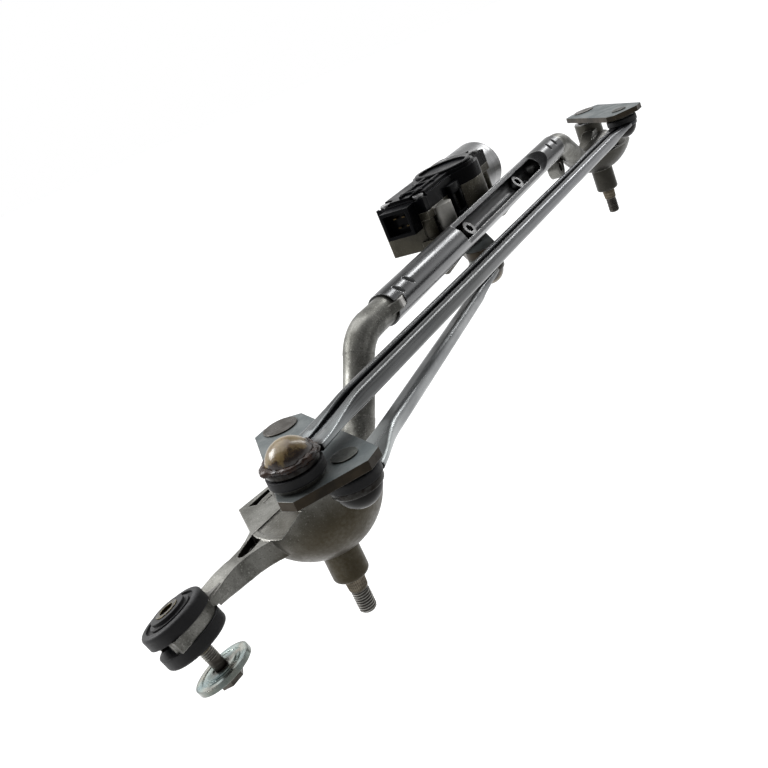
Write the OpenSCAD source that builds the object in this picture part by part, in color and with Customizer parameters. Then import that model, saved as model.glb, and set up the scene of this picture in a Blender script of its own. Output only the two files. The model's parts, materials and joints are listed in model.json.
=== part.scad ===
// Wiper linkage: a tubular frame with two pivot housings, a gear motor with its crank,
// a drive link to the driven lever and a long link on to the follower lever.
// Lengths are millimetres. X runs from the driven shaft to the follower shaft and Z along
// the shafts, with the levers up and the wiper arm threads down.
// The origin is on the driven shaft, where its wiper arm thread starts.

/* [Layout] */
// Distance between the two pivot shafts
shaft_spacing = 495; // [480:1:510]
// Height of the follower thread above the driven thread
follower_rise = 20; // [16:1:24]
// Park angle of the driven lever's centre line
lever_angle = -129; // [-132:1:-127]
// Underside of the driven lever
lever_z = 84; // [82:1:86]
// Underside of the follower lever
follower_lever_z = 94; // [92:1:96]
// Motor shaft, measured along the shaft line
crank_x = 270; // [266:1:274]
// Motor shaft, measured across the shaft line
crank_y = 25; // [25:0.5:27]

/* [Frame tube] */
// Outer diameter of the tube
tube_d = 18; // [17.5:0.5:18.5]
// Wall of the tube
tube_wall = 1.5; // [1.2:0.1:2]
// Tube axis across the shaft line
tube_y = -10.5; // [-11:0.5:-10]
// Tube axis above the driven thread
tube_z = 99; // [98:0.5:100]
// Where the tube starts on the driven side
tube_start = 92; // [90:1:95]
// Where the tube ends on the follower side
tube_end = 374; // [372:1:378]
// Where the pressed trough starts
trough_start = 183; // [180:1:188]
// Where the pressed trough ends
trough_end = 346; // [340:1:350]
// Direction that the trough opens in, above the horizontal
trough_tilt = 35; // [30:1:40]
// Radius of the trough's hollow
trough_r = 6; // [5.6:0.1:6.2]
// Height of the trough's rims above the tube axis
trough_rim = 4.3; // [4:0.1:4.6]
// Depth of the crimp dimples at the tube's ends
crimp_depth = 1; // [0.6:0.1:1.2]

/* [Pivot shafts] */
// Radius of the shaft in its bushes
journal_r = 5; // [4.8:0.1:5.3]
// Radius of the wiper arm thread
thread_r = 4; // [3.8:0.1:4.2]
// Length of the wiper arm thread
thread_len = 12.5; // [11:0.5:14]
// Length of the knurled cone above the thread
cone_len = 8; // [7:0.5:9]
// Radius of the shoulder under the lever
shoulder_r = 7.5; // [7:0.1:8]
// Height of the shoulder under the lever
shoulder_h = 4; // [3:0.5:5]
// Radius of the riveted head on the lever
rivet_r = 8; // [7.5:0.1:8.4]
// Height of every riveted head
rivet_h = 0.7; // [0.5:0.1:0.8]

/* [Pivot housings] */
// Outer radius of the bearing sleeves
sleeve_r = 8.95; // [8.8:0.05:9.4]
// Outer radius of the bearing bushes
bush_r = 6.8; // [6.6:0.1:7]
// Length of each bearing bush
bush_len = 14; // [12:1:16]
// Radius of the hub inside the bowl
hub_r = 11; // [10.5:0.1:11.5]
// Outer radius of the bowl's ball form
bowl_r = 32.5; // [32:0.5:33.5]
// Height of the driven bowl's underside
bowl_z = 25; // [24:1:27]
// Depth of the driven bowl
bowl_depth = 27; // [25:1:28]
// Depth of the follower bowl
follower_bowl_depth = 17; // [16:1:18]
// Wall of the bowls
bowl_wall = 3; // [2.5:0.1:3.5]
// Outer radius of the cast elbows
elbow_r = 7.8; // [7.5:0.1:8.2]
// Bend radius of the cast elbows
bend_r = 22; // [20:1:24]
// Slope of the driven elbow
bend_angle = 50; // [48:1:52]
// Slope of the follower elbow
follower_bend_angle = 38; // [36:1:40]
// Length of the spigots inside the tube
spigot_len = 32; // [28:1:36]

/* [Levers] */
// Thickness of the lever plates
lever_t = 4; // [3.5:0.1:4.5]
// Reach from the driven shaft to its studs along the lever
stud_reach = 62; // [61:0.5:63]
// Offset of each stud from the driven lever's centre line
stud_offset = 9.3; // [9:0.1:9.6]
// Half width of the driven lever at its tail
tail_half = 11.5; // [11:0.1:12]
// Half width of the driven lever at its tip
tip_half = 21; // [20:0.5:21.5]
// Length of the lever plates past their studs
tip_len = 14; // [13:0.5:15]
// Length of the lever plates behind their shafts
tail_len = 10; // [9:0.5:11]
// Half width of the follower lever
follower_half = 15; // [14:0.5:15.5]

/* [Ball joints] */
// Radius of the balls
ball_r = 6.5; // [6.2:0.1:6.7]
// Distance from a plate to its ball's centre
ball_rise = 9.5; // [9.2:0.1:10]
// Distance from the crank to its ball's centre
crank_ball_rise = 11.5; // [11.2:0.1:11.8]
// Radius of the neck under each ball
neck_r = 4.2; // [4:0.1:4.4]
// Radius of the collar on the plate
collar_r = 10; // [9.5:0.1:10.4]
// Thickness of the collar on the plate
collar_t = 1.6; // [1.4:0.1:1.8]
// Radius of the domed socket
socket_r = 10; // [9.8:0.1:10.4]
// Radius of the socket's waist, in the link's eye
waist_r = 8.4; // [8.2:0.1:8.6]
// Outer radius of the rubber boot
boot_r = 11.6; // [11.2:0.1:12]

/* [Links] */
// Width of the link bars
bar_w = 13.5; // [12.5:0.5:14.5]
// Height of the link bars
bar_h = 8; // [7.5:0.5:8.5]
// Width of the drive link's bar
drive_bar_w = 9; // [8.5:0.5:9.5]
// Height of the drive link's bar
drive_bar_h = 7.6; // [7.2:0.1:7.8]
// Width of the drive link's flattened ends
drive_tongue_w = 13; // [12:0.5:14]
// Width of the seam groove along the bars
seam_w = 4.4; // [3.5:0.1:5]
// Depth of the seam groove along the bars
seam_depth = 2.2; // [1.8:0.1:2.6]
// Thickness of the flattened ends
eye_t = 3.4; // [3:0.1:3.6]
// Radius of the eye round a socket
eye_r = 11; // [10.6:0.1:11.4]
// Length of the flattened end at the levers
tongue_len = 26; // [24:1:30]
// Length over which a bar flattens
flare_len = 20; // [18:1:24]

/* [Crank] */
// Crank radius, shaft to pin
crank_r = 41.2; // [40.6:0.1:41.8]
// Park angle of the crank
crank_angle = -145.7; // [-147:0.1:-144]
// Underside of the crank
crank_z = 73.3; // [73:0.1:73.6]
// Thickness of the crank
crank_t = 5; // [4.5:0.1:5.2]
// Radius of the crank at the motor shaft
crank_root_r = 11; // [10.5:0.1:12]
// Radius of the crank at the pin
crank_tip_r = 10; // [9.5:0.1:10.5]

/* [Mounting points] */
// Distance from the driven shaft to its rubber mount
mount_reach = 79.6; // [78:0.2:82]
// Direction of the driven mount's arm
arm_angle = 163.6; // [162:0.2:166]
// Height of the driven mount's centre
mount_z = 43.5; // [42:0.5:45]
// Lean of the driven mount's axis
mount_lean = 17; // [15:1:19]
// Direction that the driven mount's axis leans to
mount_lean_to = 104; // [100:1:108]
// Thickness of the forks that hold the rubber mounts
fork_t = 5.5; // [5:0.1:6]
// Radius of the fork's slot, and of the grommet's groove
groove_r = 9; // [8.6:0.1:9.4]
// Radius of the grommet's flanges
flange_r = 15; // [14.5:0.1:15.5]
// Thickness of each flange
flange_t = 6; // [5.6:0.1:6.4]
// Outer radius of the steel spacer in each grommet
spacer_r = 5.2; // [5:0.1:5.5]
// Bore radius of the steel spacer in each grommet
spacer_bore_r = 3.3; // [3.2:0.05:3.4]
// Follower lug, measured along the shaft line from the follower shaft
lug_x = -97; // [-100:1:-94]
// Height of the follower lug's bore
lug_z = 79; // [78:0.5:80]
// Radius of the follower lug
lug_r = 8; // [7.5:0.1:8.5]
// Thickness of the follower lug
lug_t = 8; // [7:0.5:9]
// Bore radius of the follower lug
lug_bore_r = 3.25; // [3.1:0.05:3.4]
// Radius of the fixing bolt
bolt_r = 3; // [2.9:0.05:3.1]
// Length of the fixing bolt under its disc
bolt_len = 32; // [30:1:34]
// Radius of the fixing bolt's disc
disc_r = 13.5; // [13:0.1:14]
// How far the bolt hangs out of its seat
bolt_drop = 12; // [11:0.5:13]

/* [Gear motor] */
// Height of the worm and motor axis
worm_z = 103; // [102:0.5:104]
// Outer radius of the gear case
case_r = 23.5; // [23:0.1:24]
// Wall of the gear case
case_wall = 2.6; // [2.4:0.1:3]
// Underside of the gear case
case_z = 84; // [83:0.5:85]
// Seam between gear case and cover
seam_z = 116; // [115:0.5:117]
// Height of the gear cover
cover_h = 11; // [10:0.5:12]
// Where the gear case ends on the connector side
case_start = 206; // [204:1:208]
// Where the motor can meets the gear case
can_start = 312; // [310:1:314]
// Length of the motor can
can_len = 55; // [53:1:58]
// Outer radius of the motor can
can_r = 20.5; // [20:0.1:21]
// Wall of the motor can
can_wall = 1.5; // [1.3:0.1:1.8]
// Tip radius of the worm wheel
wheel_r = 18; // [17.8:0.1:18.2]
// Thickness of the worm wheel
wheel_t = 12; // [11:0.5:13]
// Number of teeth on the worm wheel
wheel_teeth = 40; // [36:1:44]
// Tip radius of the worm
worm_r = 4.5; // [4.3:0.1:4.6]
// Radius of the armature shaft
armature_shaft_r = 3; // [2.8:0.1:3.2]
// Radius of the motor's output shaft
output_r = 5; // [4.8:0.1:5.2]
// Radius of the boss round the output shaft
output_boss_r = 9; // [8.6:0.1:9.4]
// Radius of the screws that hold the motor on the tube
motor_screw_r = 3; // [2.8:0.1:3.2]
// Radius of the screw pillars on the motor
pillar_r = 6.5; // [6:0.1:7]

/* [Fits] */
// Radial gap of a part pressed or cast into another
snug = 0.02; // [0.01:0.01:0.04]
// Radial running clearance of the shafts
running = 0.03; // [0.02:0.01:0.06]
// Gap between moving parts
free_gap = 0.3; // [0.25:0.05:0.5]

/* [Hidden] */
$fn = 64;
deep = 400;

function polar(r, a) = [r * cos(a), r * sin(a)];
function level(p, z) = [p[0], p[1], z];

// Ball joints
stud_r = norm([stud_reach, stud_offset]);
stud_spread = atan2(stud_offset, stud_reach);
follower_angle = lever_angle - stud_spread;
follower_at = [shaft_spacing, 0];
lever_top = lever_z + lever_t;
long_near = level(polar(stud_r, follower_angle), lever_top + ball_rise);
long_far = level(follower_at + polar(stud_r, follower_angle), follower_lever_z - ball_rise);
drive_near = level(polar(stud_r, lever_angle + stud_spread), lever_z - ball_rise);
crank_at = [crank_x, crank_y];
crank_pin = level(crank_at + polar(crank_r, crank_angle), crank_z - free_gap - crank_ball_rise);
mouth_r = neck_r + 1.4;
socket_low = 5.4;
boot_low = ball_rise - collar_t - free_gap;
boot_top = eye_t + snug;

// Housings
tube_r = tube_d / 2;
spigot_r = tube_r - tube_wall - snug;
hub_gap = 1;
washer_t = hub_gap - 0.2;
follower_bowl_z = follower_rise + bowl_z + 2;
clip_t = 1.2;
clip_depth = 0.5;
clip_seat = 2.4;

// Motor
worm_y = crank_y + wheel_r + worm_r + free_gap + 0.1;
can_end = can_start + can_len;
box_y0 = crank_y - 14;
box_y1 = worm_y - 3;
pillar_x = [case_start + 4, can_start - 14];
magnet_t = 3;
core_r = can_r - can_wall - magnet_t - 0.8;
core_start = 14;
worm_len = 32;
brush_x = can_start + 4;
output_top = worm_z + wheel_t / 2 + 2;

// Places
module at_follower() { translate([shaft_spacing, 0, 0]) children(); }
module at_mount() {
    translate(level(polar(mount_reach, arm_angle), mount_z))
        rotate([0, 0, mount_lean_to]) rotate([0, mount_lean, 0])
            rotate([0, 0, arm_angle - mount_lean_to]) children();
}
// At the follower lug's bore, local Z towards the levers' side of the frame
module at_lug() { translate([shaft_spacing + lug_x, lug_y, lug_z]) rotate([90, 0, 0]) children(); }
lug_y = 1;
module on_tube() { translate([0, tube_y, tube_z]) children(); }
// Along the trough's opening: local Z points out of the trough
module on_trough(x) { translate([x, 0, 0]) on_tube() rotate([90 - trough_tilt, 0, 0]) children(); }
module at_crank() { translate([crank_x, crank_y, 0]) children(); }
module at_worm(x) { translate([x, worm_y, worm_z]) rotate([0, 90, 0]) children(); }
module up_at(p) { translate(p) children(); }
module down_at(p) { translate(p) mirror([0, 0, 1]) children(); }

// Shapes used again and again
module ring(r_out, r_in, h) {
    difference() {
        cylinder(r = r_out, h = h);
        translate([0, 0, -1]) cylinder(r = r_in, h = h + 2);
    }
}
module rod_x(r, x0, x1) { translate([x0, 0, 0]) rotate([0, 90, 0]) cylinder(r = r, h = x1 - x0); }
// Ring of waste that rounds the lower edge of a cylinder
module edge_waste(r, fillet) {
    rotate_extrude() translate([r - fillet, 0]) difference() {
        translate([0, -1]) square([fillet + 1, fillet + 1]);
        translate([0, fillet]) circle(r = fillet);
    }
}
module slot_2d(r, len) {
    circle(r = r);
    translate([0, -r]) square([len, 2 * r]);
}
// Straight taper with round ends, kept exact
module taper_2d(r0, r1, len) {
    circle(r = r0);
    translate([len, 0]) circle(r = r1);
    polygon([[0, -r0], [len, -r1], [len, r1], [0, r0]]);
}
// Cast S bend that leaves along X, climbs, and ends along X again
function bend_run(a, rise) = 2 * bend_r * sin(a) + bend_slope(a, rise) * cos(a);
function bend_slope(a, rise) = (rise - 2 * bend_r * (1 - cos(a))) / sin(a);
neck_core_r = elbow_r - 0.15;
module s_bend(a, rise) {
    foot = [bend_r * sin(a), 0, bend_r * (1 - cos(a))];
    slope = bend_slope(a, rise);
    top = foot + slope * [cos(a), 0, sin(a)];
    translate([0, 0, bend_r]) rotate([90, 0, 0]) rotate([0, 0, -90])
        rotate_extrude(angle = a) translate([bend_r, 0]) circle(r = elbow_r);
    translate(foot) rotate([0, 90 - a, 0]) translate([0, 0, -1]) cylinder(r = neck_core_r, h = slope + 2);
    translate(top + bend_r * [sin(a), 0, -cos(a)]) rotate([90, 0, 0]) rotate([0, 0, 90])
        rotate_extrude(angle = a) translate([bend_r, 0]) circle(r = elbow_r);
}

// Frame tube: round ends crimped on the cast spigots, pressed trough between them
module trough_cut() {
    run = trough_end - trough_start;
    near_r = 7;
    far_r = 22;
    // hollow of the trough
    rotate([0, 90, 0]) translate([-trough_rim + 3, 0, near_r]) {
        cylinder(r = trough_r, h = run - near_r - far_r);
        sphere(r = trough_r);
        translate([0, 0, run - near_r - far_r]) sphere(r = trough_r);
    }
    // everything above the rims, with run-out curves at both ends
    translate([near_r, -tube_d, trough_rim]) cube([run - near_r - far_r, 2 * tube_d, tube_d]);
    translate([near_r, 0, trough_rim + near_r]) rotate([90, 0, 0])
        cylinder(r = near_r, h = 2 * tube_d, center = true);
    translate([run - far_r, 0, trough_rim + far_r]) rotate([90, 0, 0])
        cylinder(r = far_r, h = 2 * tube_d, center = true);
}
// Slits staked across the tube into the cast spigot
module crimps(x, way) {
    stake_r = 2.2;
    stake_len = 7;
    for (i = [0, 1]) on_trough(x + way * (10 + 12 * i))
        rotate([-8, 0, 0]) translate([0, 0, tube_r + stake_r - crimp_depth]) rotate([90, 0, 20 * way])
            cylinder(r = stake_r, h = stake_len, center = true);
}
module frame_tube() {
    bore_r = tube_r - tube_wall;
    solid_from = trough_start - 4;
    solid_to = trough_end - 4;
    color("lightsteelblue") difference() {
        on_tube() difference() {
            rod_x(tube_r, tube_start, tube_end);
            rod_x(bore_r, tube_start - 1, solid_from);
            rod_x(bore_r, solid_to, tube_end + 1);
        }
        on_trough(trough_start) trough_cut();
        crimps(tube_start, 1);
        crimps(tube_end, -1);
        for (x = pillar_x) on_trough(x) {
            translate([0, 0, -deep / 2]) cylinder(r = motor_screw_r + 0.4, h = deep);
            translate([0, 0, -screw_seat]) cylinder(r = screw_head_r + 0.6, h = tube_d);
        }
        // notch that keys the tube on the cast spigot
        on_key() translate([-1, -key_w / 2 - free_gap, tube_r - 4])
            cube([key_len + 1, key_w + 2 * free_gap, tube_r]);
    }
}
key_w = 5;
key_len = 9;
key_tilt = 6;
// At the tube's near end, local Z out through its notch
module on_key() { translate([tube_start, 0, 0]) on_tube() rotate([90 - key_tilt, 0, 0]) children(); }
screw_seat = 5.4;
screw_head_r = 5;
screw_head_h = 4.5;

// Pivot housings
module bowl(depth) {
    intersection() {
        translate([0, 0, bowl_centre]) difference() {
            sphere(r = bowl_r);
            sphere(r = bowl_r - bowl_wall);
        }
        translate([0, 0, -2]) cylinder(r = bowl_r + 1, h = depth + 2);
    }
}
module webs(top, angles) {
    intersection() {
        for (a = angles) rotate([0, 0, a]) translate([hub_r - 1, -1.5, 2]) cube([bowl_r, 3, top - 2]);
        translate([0, 0, bowl_centre]) sphere(r = bowl_r - bowl_wall / 2);
    }
}
bowl_centre = sqrt(bowl_r * bowl_r - sleeve_r * sleeve_r);
module bearing_bore(bottom, top) {
    translate([0, 0, bottom - 1]) cylinder(r = bush_r + snug, h = top - bottom + 2);
}
module sleeve(bottom, top) {
    difference() {
        translate([0, 0, bottom]) cylinder(r = sleeve_r, h = top - bottom);
        translate([0, 0, bottom]) edge_waste(sleeve_r, 2.2);
    }
}
driven_sleeve_z = cone_len;
driven_hub_top = lever_z - shoulder_h - hub_gap;
follower_sleeve_z = follower_rise + cone_len;
follower_hub_top = follower_lever_z - shoulder_h - hub_gap;
driven_elbow_z = bowl_z + 35;
driven_elbow_rise = tube_z - driven_elbow_z;
driven_neck = 17;
follower_neck = 8;
driven_elbow_x = tube_start - driven_neck - bend_run(bend_angle, driven_elbow_rise);
follower_elbow_z = follower_bowl_z + 24;
follower_elbow_rise = tube_z - follower_elbow_z;
follower_elbow_run = bend_run(follower_bend_angle, follower_elbow_rise);
follower_elbow_x = tube_end + follower_neck + follower_elbow_run;
deck_z = bowl_z + bowl_depth - 0.5;
deck_t = 5;
arm_low = deck_z - 10;
fork_root = 58;
fork_neck = 4.6;

// Along the arm: local X runs out from the driven shaft
module along_arm() { rotate([0, 0, arm_angle]) children(); }
module driven_bowl() {
    front = bowl_z + 39;
    intersection() {
        translate([0, 0, bowl_z + bowl_centre]) difference() {
            sphere(r = bowl_r);
            sphere(r = bowl_r - bowl_wall);
        }
        // rim, low at the back and tall at the front
        along_arm() rotate([90, 0, 90]) linear_extrude(2 * bowl_r + 2, center = true) polygon([
            [-bowl_r - 1, bowl_z - 2], [bowl_r + 1, bowl_z - 2], [bowl_r + 1, front], [27, front], [24, front - 1],
            [21, front - 4], [17, front - 8], [12, deck_z + 0.5], [-bowl_r - 1, deck_z + 0.5]
        ]);
    }
    // deck between the arm and the hub
    intersection() {
        translate([0, 0, bowl_z + bowl_centre]) sphere(r = bowl_r - bowl_wall / 2);
        along_arm() translate([-2, -bowl_r, deck_z - deck_t]) cube([bowl_r + 2, 2 * bowl_r, deck_t]);
    }
}
module fork_plate() {
    translate([0, 0, -fork_t / 2]) linear_extrude(fork_t) {
        circle(r = groove_r + 5);
        translate([0, -groove_r - 5]) square([groove_r + 1, 2 * groove_r + 10]);
        translate([-mount_reach + fork_root, -fork_neck]) square([mount_reach - fork_root, 2 * fork_neck]);
    }
}
module driven_arm() {
    recess = 4;
    along_arm() difference() {
        intersection() {
            translate([0, 0, arm_low - 5]) linear_extrude(30) polygon([
                [12, 12], [24, 9.6], [28, 8.2], [32, 5.8], [36, 4.2], [41, 3], [47, 2.8], [53, 3.4], [59, 4.4], [67, 5],
                [67, -6.4], [59, -6], [53, -5.6], [47, -5.4], [40, -7], [35, -9.6], [30, -13], [26, -17], [12, -17]
            ]);
            rotate([90, 0, 0]) linear_extrude(80, center = true) polygon([
                [10, arm_low], [46, arm_low], [53, arm_low + 0.5], [59, arm_low + 1.3], [67, arm_low + 1.6],
                [67, deck_z - 3.4], [61, deck_z - 1.9], [56, deck_z - 0.7], [50, deck_z], [10, deck_z]
            ]);
        }
        // long recess in the upper face, narrowing towards the shaft
        translate([0, 0, deck_z - recess]) linear_extrude(recess + 1) polygon([
            [44.6, -2.4], [43, -3.8], [40, -5.4], [34, -8.4], [28.5, -10.8], [25, -10.6], [22, -8.8], [18.5, -6.8],
            [16.4, -3.6], [17.2, -1], [23.6, -3.4], [28, -3], [34, -0.4], [40, 1.2], [43.6, 0.6], [44.8, -0.8]
        ]);
    }
}
// Tray cast on the back of the driven bowl, with a pocket
tray_corners = [[-7, 41], [12, 36], [-8, 14], [-28, 17]];
pocket_corners = [[-5, 36.5], [9.5, 34.2], [3, 26.8], [-3, 27.5]];
module driven_tray() {
    tray_h = 9;
    translate([0, 0, deck_z + 0.8 - tray_h]) difference() {
        linear_extrude(tray_h) polygon(tray_corners);
        translate([0, 0, 2]) linear_extrude(tray_h) polygon(pocket_corners);
    }
}
module driven_housing() {
    color("darkgray") difference() {
        union() {
            sleeve(driven_sleeve_z, bowl_z + 6);
            driven_bowl();
            translate([0, 0, bowl_z]) webs(bowl_depth - 3, [-35, -70, 65, 205, 245]);
            translate([0, 0, bowl_z + 1]) cylinder(r = hub_r, h = driven_hub_top - bowl_z - 1);
            driven_tray();
            driven_arm();
            at_mount() fork_plate();
            translate([driven_elbow_x, tube_y, driven_elbow_z]) {
                s_bend(bend_angle, driven_elbow_rise);
                rod_x(neck_core_r, -driven_elbow_x, 1);
            }
            on_tube() {
                rod_x(neck_core_r, tube_start - driven_neck - 1, tube_start);
                rod_x(spigot_r, tube_start - 4, tube_start + spigot_len);
            }
            // key in the tube's notch
            on_key() rotate([90, 0, 0]) linear_extrude(key_w, center = true) polygon([
                [-10, 4], [key_len - free_gap, 4], [key_len - free_gap, tube_r - 0.6],
                [2, tube_r + 1.4], [-10, elbow_r - 2]
            ]);
        }
        bearing_bore(driven_sleeve_z, driven_hub_top);
        at_mount() translate([0, 0, -30]) linear_extrude(60) slot_2d(groove_r + snug, 60);
        at_mount() for (side = [-1, 1]) translate([0, 0, side * (fork_t / 2 + 15.05)])
            cylinder(r = flange_r + 1.2, h = 30, center = true);
    }
}
module follower_lug() {
    at_lug() linear_extrude(lug_t, center = true) {
        circle(r = lug_r);
        polygon([[-lug_r, 0], [lug_r, 0], [lug_r + 9, tube_z - lug_z - 4], [-lug_r + 3, tube_z - lug_z - 4]]);
    }
    translate([shaft_spacing + lug_x - 4, tube_y, tube_z - 7]) cube([2 * lug_r, lug_y - tube_y + lug_t / 2 - 0.5, 5]);
}
module follower_housing() {
    color("darkgray") difference() {
        union() {
            at_follower() {
                sleeve(follower_sleeve_z, follower_bowl_z + 6);
                translate([0, 0, follower_bowl_z]) {
                    bowl(follower_bowl_depth);
                    webs(follower_bowl_depth - 2, [-30, -90, 30, 90, 210]);
                }
                translate([0, 0, follower_bowl_z + 1])
                    cylinder(r = hub_r, h = follower_hub_top - follower_bowl_z - 1);
            }
            translate([follower_elbow_x, tube_y, follower_elbow_z]) mirror([1, 0, 0]) {
                s_bend(follower_bend_angle, follower_elbow_rise);
                rod_x(neck_core_r, follower_elbow_x - shaft_spacing, 1);
            }
            on_tube() {
                rod_x(neck_core_r, tube_end, tube_end + follower_neck + 1);
                rod_x(spigot_r, tube_end - spigot_len, tube_end + 4);
            }
            follower_lug();
            // web between the elbow and the hub
            translate([shaft_spacing, tube_y + 12, 0]) rotate([90, 0, 0]) linear_extrude(10)
                polygon([[-52, follower_elbow_z - 2], [-5, follower_elbow_z - 2],
                    [-5, follower_hub_top - 6], [-18, follower_hub_top - 6]]);
        }
        at_follower() bearing_bore(follower_sleeve_z, follower_hub_top);
        at_lug() cylinder(r = lug_bore_r, h = lug_t + 20, center = true);
    }
}
module bush(z) { translate([0, 0, z]) ring(bush_r, journal_r + running, bush_len); }
module thrust_washer(z) { translate([0, 0, z]) ring(hub_r - 0.5, journal_r + free_gap, washer_t); }
module driven_upper_bush() { color("peru") bush(driven_hub_top - bush_len); }
module driven_lower_bush() { color("peru") bush(driven_sleeve_z + clip_seat + clip_t + free_gap); }
module follower_upper_bush() { color("peru") at_follower() bush(follower_hub_top - bush_len); }
module follower_lower_bush() {
    color("peru") at_follower() bush(follower_sleeve_z + clip_seat + clip_t + free_gap);
}
module driven_thrust_washer() { color("silver") thrust_washer(driven_hub_top); }
module follower_thrust_washer() { color("silver") at_follower() thrust_washer(follower_hub_top); }

// Rubber mounts
module grommet() {
    crown_h = 1.6;
    difference() {
        union() {
            cylinder(r = groove_r, h = fork_t + 0.2, center = true);
            for (side = [0, 1]) mirror([0, 0, side]) translate([0, 0, fork_t / 2 + 2 * snug]) difference() {
                cylinder(r = flange_r, h = flange_t);
                translate([0, 0, flange_t]) mirror([0, 0, 1]) edge_waste(flange_r, 1.6);
                translate([0, 0, flange_t - 1.2]) ring(flange_r - 3, spacer_r + 4.5, 2);
            }
            translate([0, 0, fork_t / 2 + flange_t - 1]) cylinder(r = spacer_r + 3, h = crown_h + 1);
        }
        cylinder(r = spacer_r + snug, h = deep, center = true);
    }
}
spacer_half = fork_t / 2 + flange_t + 2;
module spacer() { translate([0, 0, -spacer_half]) ring(spacer_r, spacer_bore_r, 2 * spacer_half); }
module driven_grommet() { color("#2b2b2d") at_mount() grommet(); }
module driven_spacer() { color("darkkhaki") at_mount() spacer(); }

// Fixing bolt of the driven mount, hanging out of its spacer
disc_t = 2.4;
module at_bolt() { at_mount() translate([0, 0, -spacer_half - bolt_drop]) children(); }
module fixing_bolt() {
    head_h = 5;
    color("dimgray") at_bolt() {
        cylinder(r = bolt_r, h = bolt_len - 1);
        translate([0, 0, bolt_len - 1]) cylinder(r1 = bolt_r, r2 = bolt_r - 0.8, h = 1);
        translate([0, 0, -disc_t]) cylinder(r = bolt_r, h = disc_t);
        translate([0, 0, -disc_t - head_h]) cylinder(r = 5.8, h = head_h, $fn = 6);
    }
}
module bolt_disc() {
    color("darkseagreen") at_bolt() translate([0, 0, -disc_t]) difference() {
        union() {
            cylinder(r = disc_r, h = disc_t);
            translate([0, 0, disc_t]) ring(disc_r * 0.56, bolt_r + 1.5, 0.5);
        }
        translate([0, 0, -1]) cylinder(r = bolt_r + snug, h = disc_t + 3);
        translate([0, 0, disc_t - 0.4]) ring(disc_r - 3, disc_r - 4.4, 1);
    }
}

// Pivot shafts
module pivot_shaft(base, lever_base) {
    chamfer = 0.8;
    journal_z = base + cone_len;
    clip_z = journal_z + clip_seat;
    translate([0, 0, base - thread_len]) cylinder(r1 = thread_r - chamfer, r2 = thread_r, h = chamfer);
    translate([0, 0, base - thread_len + chamfer]) cylinder(r = thread_r, h = thread_len - chamfer);
    translate([0, 0, base]) cylinder(r1 = thread_r + 0.4, r2 = journal_r - 0.1, h = cone_len);
    translate([0, 0, journal_z]) cylinder(r = journal_r, h = clip_seat);
    translate([0, 0, clip_z]) cylinder(r = journal_r - clip_depth, h = clip_t);
    translate([0, 0, clip_z + clip_t]) cylinder(r = journal_r, h = lever_base - clip_z - clip_t);
    translate([0, 0, lever_base - shoulder_h]) cylinder(r = shoulder_r, h = shoulder_h);
    translate([0, 0, lever_base]) cylinder(r = tenon_r, h = lever_t);
    translate([0, 0, lever_base + lever_t]) cylinder(r = rivet_r, h = rivet_h);
}
tenon_r = 6;
module circlip(base) {
    translate([0, 0, base + cone_len + clip_seat + snug]) difference() {
        ring(bush_r - 0.5, journal_r - clip_depth + snug, clip_t - 2 * snug);
        translate([0, -1.5, -1]) cube([bush_r, 3, clip_t + 2]);
    }
}
module driven_shaft() { color("gray") pivot_shaft(0, lever_z); }
module driven_circlip() { color("dimgray") circlip(0); }
module follower_shaft() { color("gray") at_follower() pivot_shaft(follower_rise, follower_lever_z); }
module follower_circlip() { color("dimgray") at_follower() circlip(follower_rise); }

// Levers
module lever_plate(outline_half, tail, reach, holes) {
    chamfer = 7;
    tip = reach + tip_len;
    linear_extrude(lever_t) difference() {
        polygon([
            [-tail_len + 2, -tail * 0.5], [-tail_len + 6, -tail], [tip - chamfer, -outline_half],
            [tip, -outline_half + chamfer * 0.6], [tip, outline_half - chamfer],
            [tip - chamfer * 0.9, outline_half], [-tail_len + 6, tail], [-tail_len + 2, tail * 0.5]
        ]);
        circle(r = tenon_r + snug);
        for (p = holes) translate(p) circle(r = neck_r + snug);
    }
}
module driven_lever() {
    color("lightslategray") translate([0, 0, lever_z]) rotate([0, 0, lever_angle])
        lever_plate(tip_half, tail_half, stud_reach, [[stud_reach, -stud_offset], [stud_reach, stud_offset]]);
}
module follower_lever() {
    color("lightslategray") at_follower() translate([0, 0, follower_lever_z])
        rotate([0, 0, follower_angle])
            lever_plate(follower_half, follower_half, stud_r, [[stud_r, 0]]);
}

// Ball stud with its ball at the origin and its plate ball_rise below
module ball_stud(plate_t) {
    sphere(r = ball_r);
    translate([0, 0, -ball_rise]) {
        cylinder(r = neck_r, h = ball_rise);
        cylinder(r = collar_r, h = collar_t);
        translate([0, 0, -plate_t]) cylinder(r = neck_r, h = plate_t);
        translate([0, 0, -plate_t - rivet_h]) cylinder(r = neck_r + 1.3, h = rivet_h);
    }
}
module long_link_stud() { color("slategray") up_at(long_near) ball_stud(lever_t); }
module drive_link_stud() { color("slategray") down_at(drive_near) ball_stud(lever_t); }
module follower_stud() { color("slategray") down_at(long_far) ball_stud(lever_t); }
// The crank's stud turns with the drive link, and its collar stands free_gap off the crank
module crank_stud() {
    color("slategray") down_at(crank_pin) {
        sphere(r = ball_r);
        translate([0, 0, -crank_ball_rise]) {
            cylinder(r = neck_r, h = crank_ball_rise);
            cylinder(r = collar_r, h = collar_t + crank_ball_rise - ball_rise);
        }
    }
}

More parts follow.
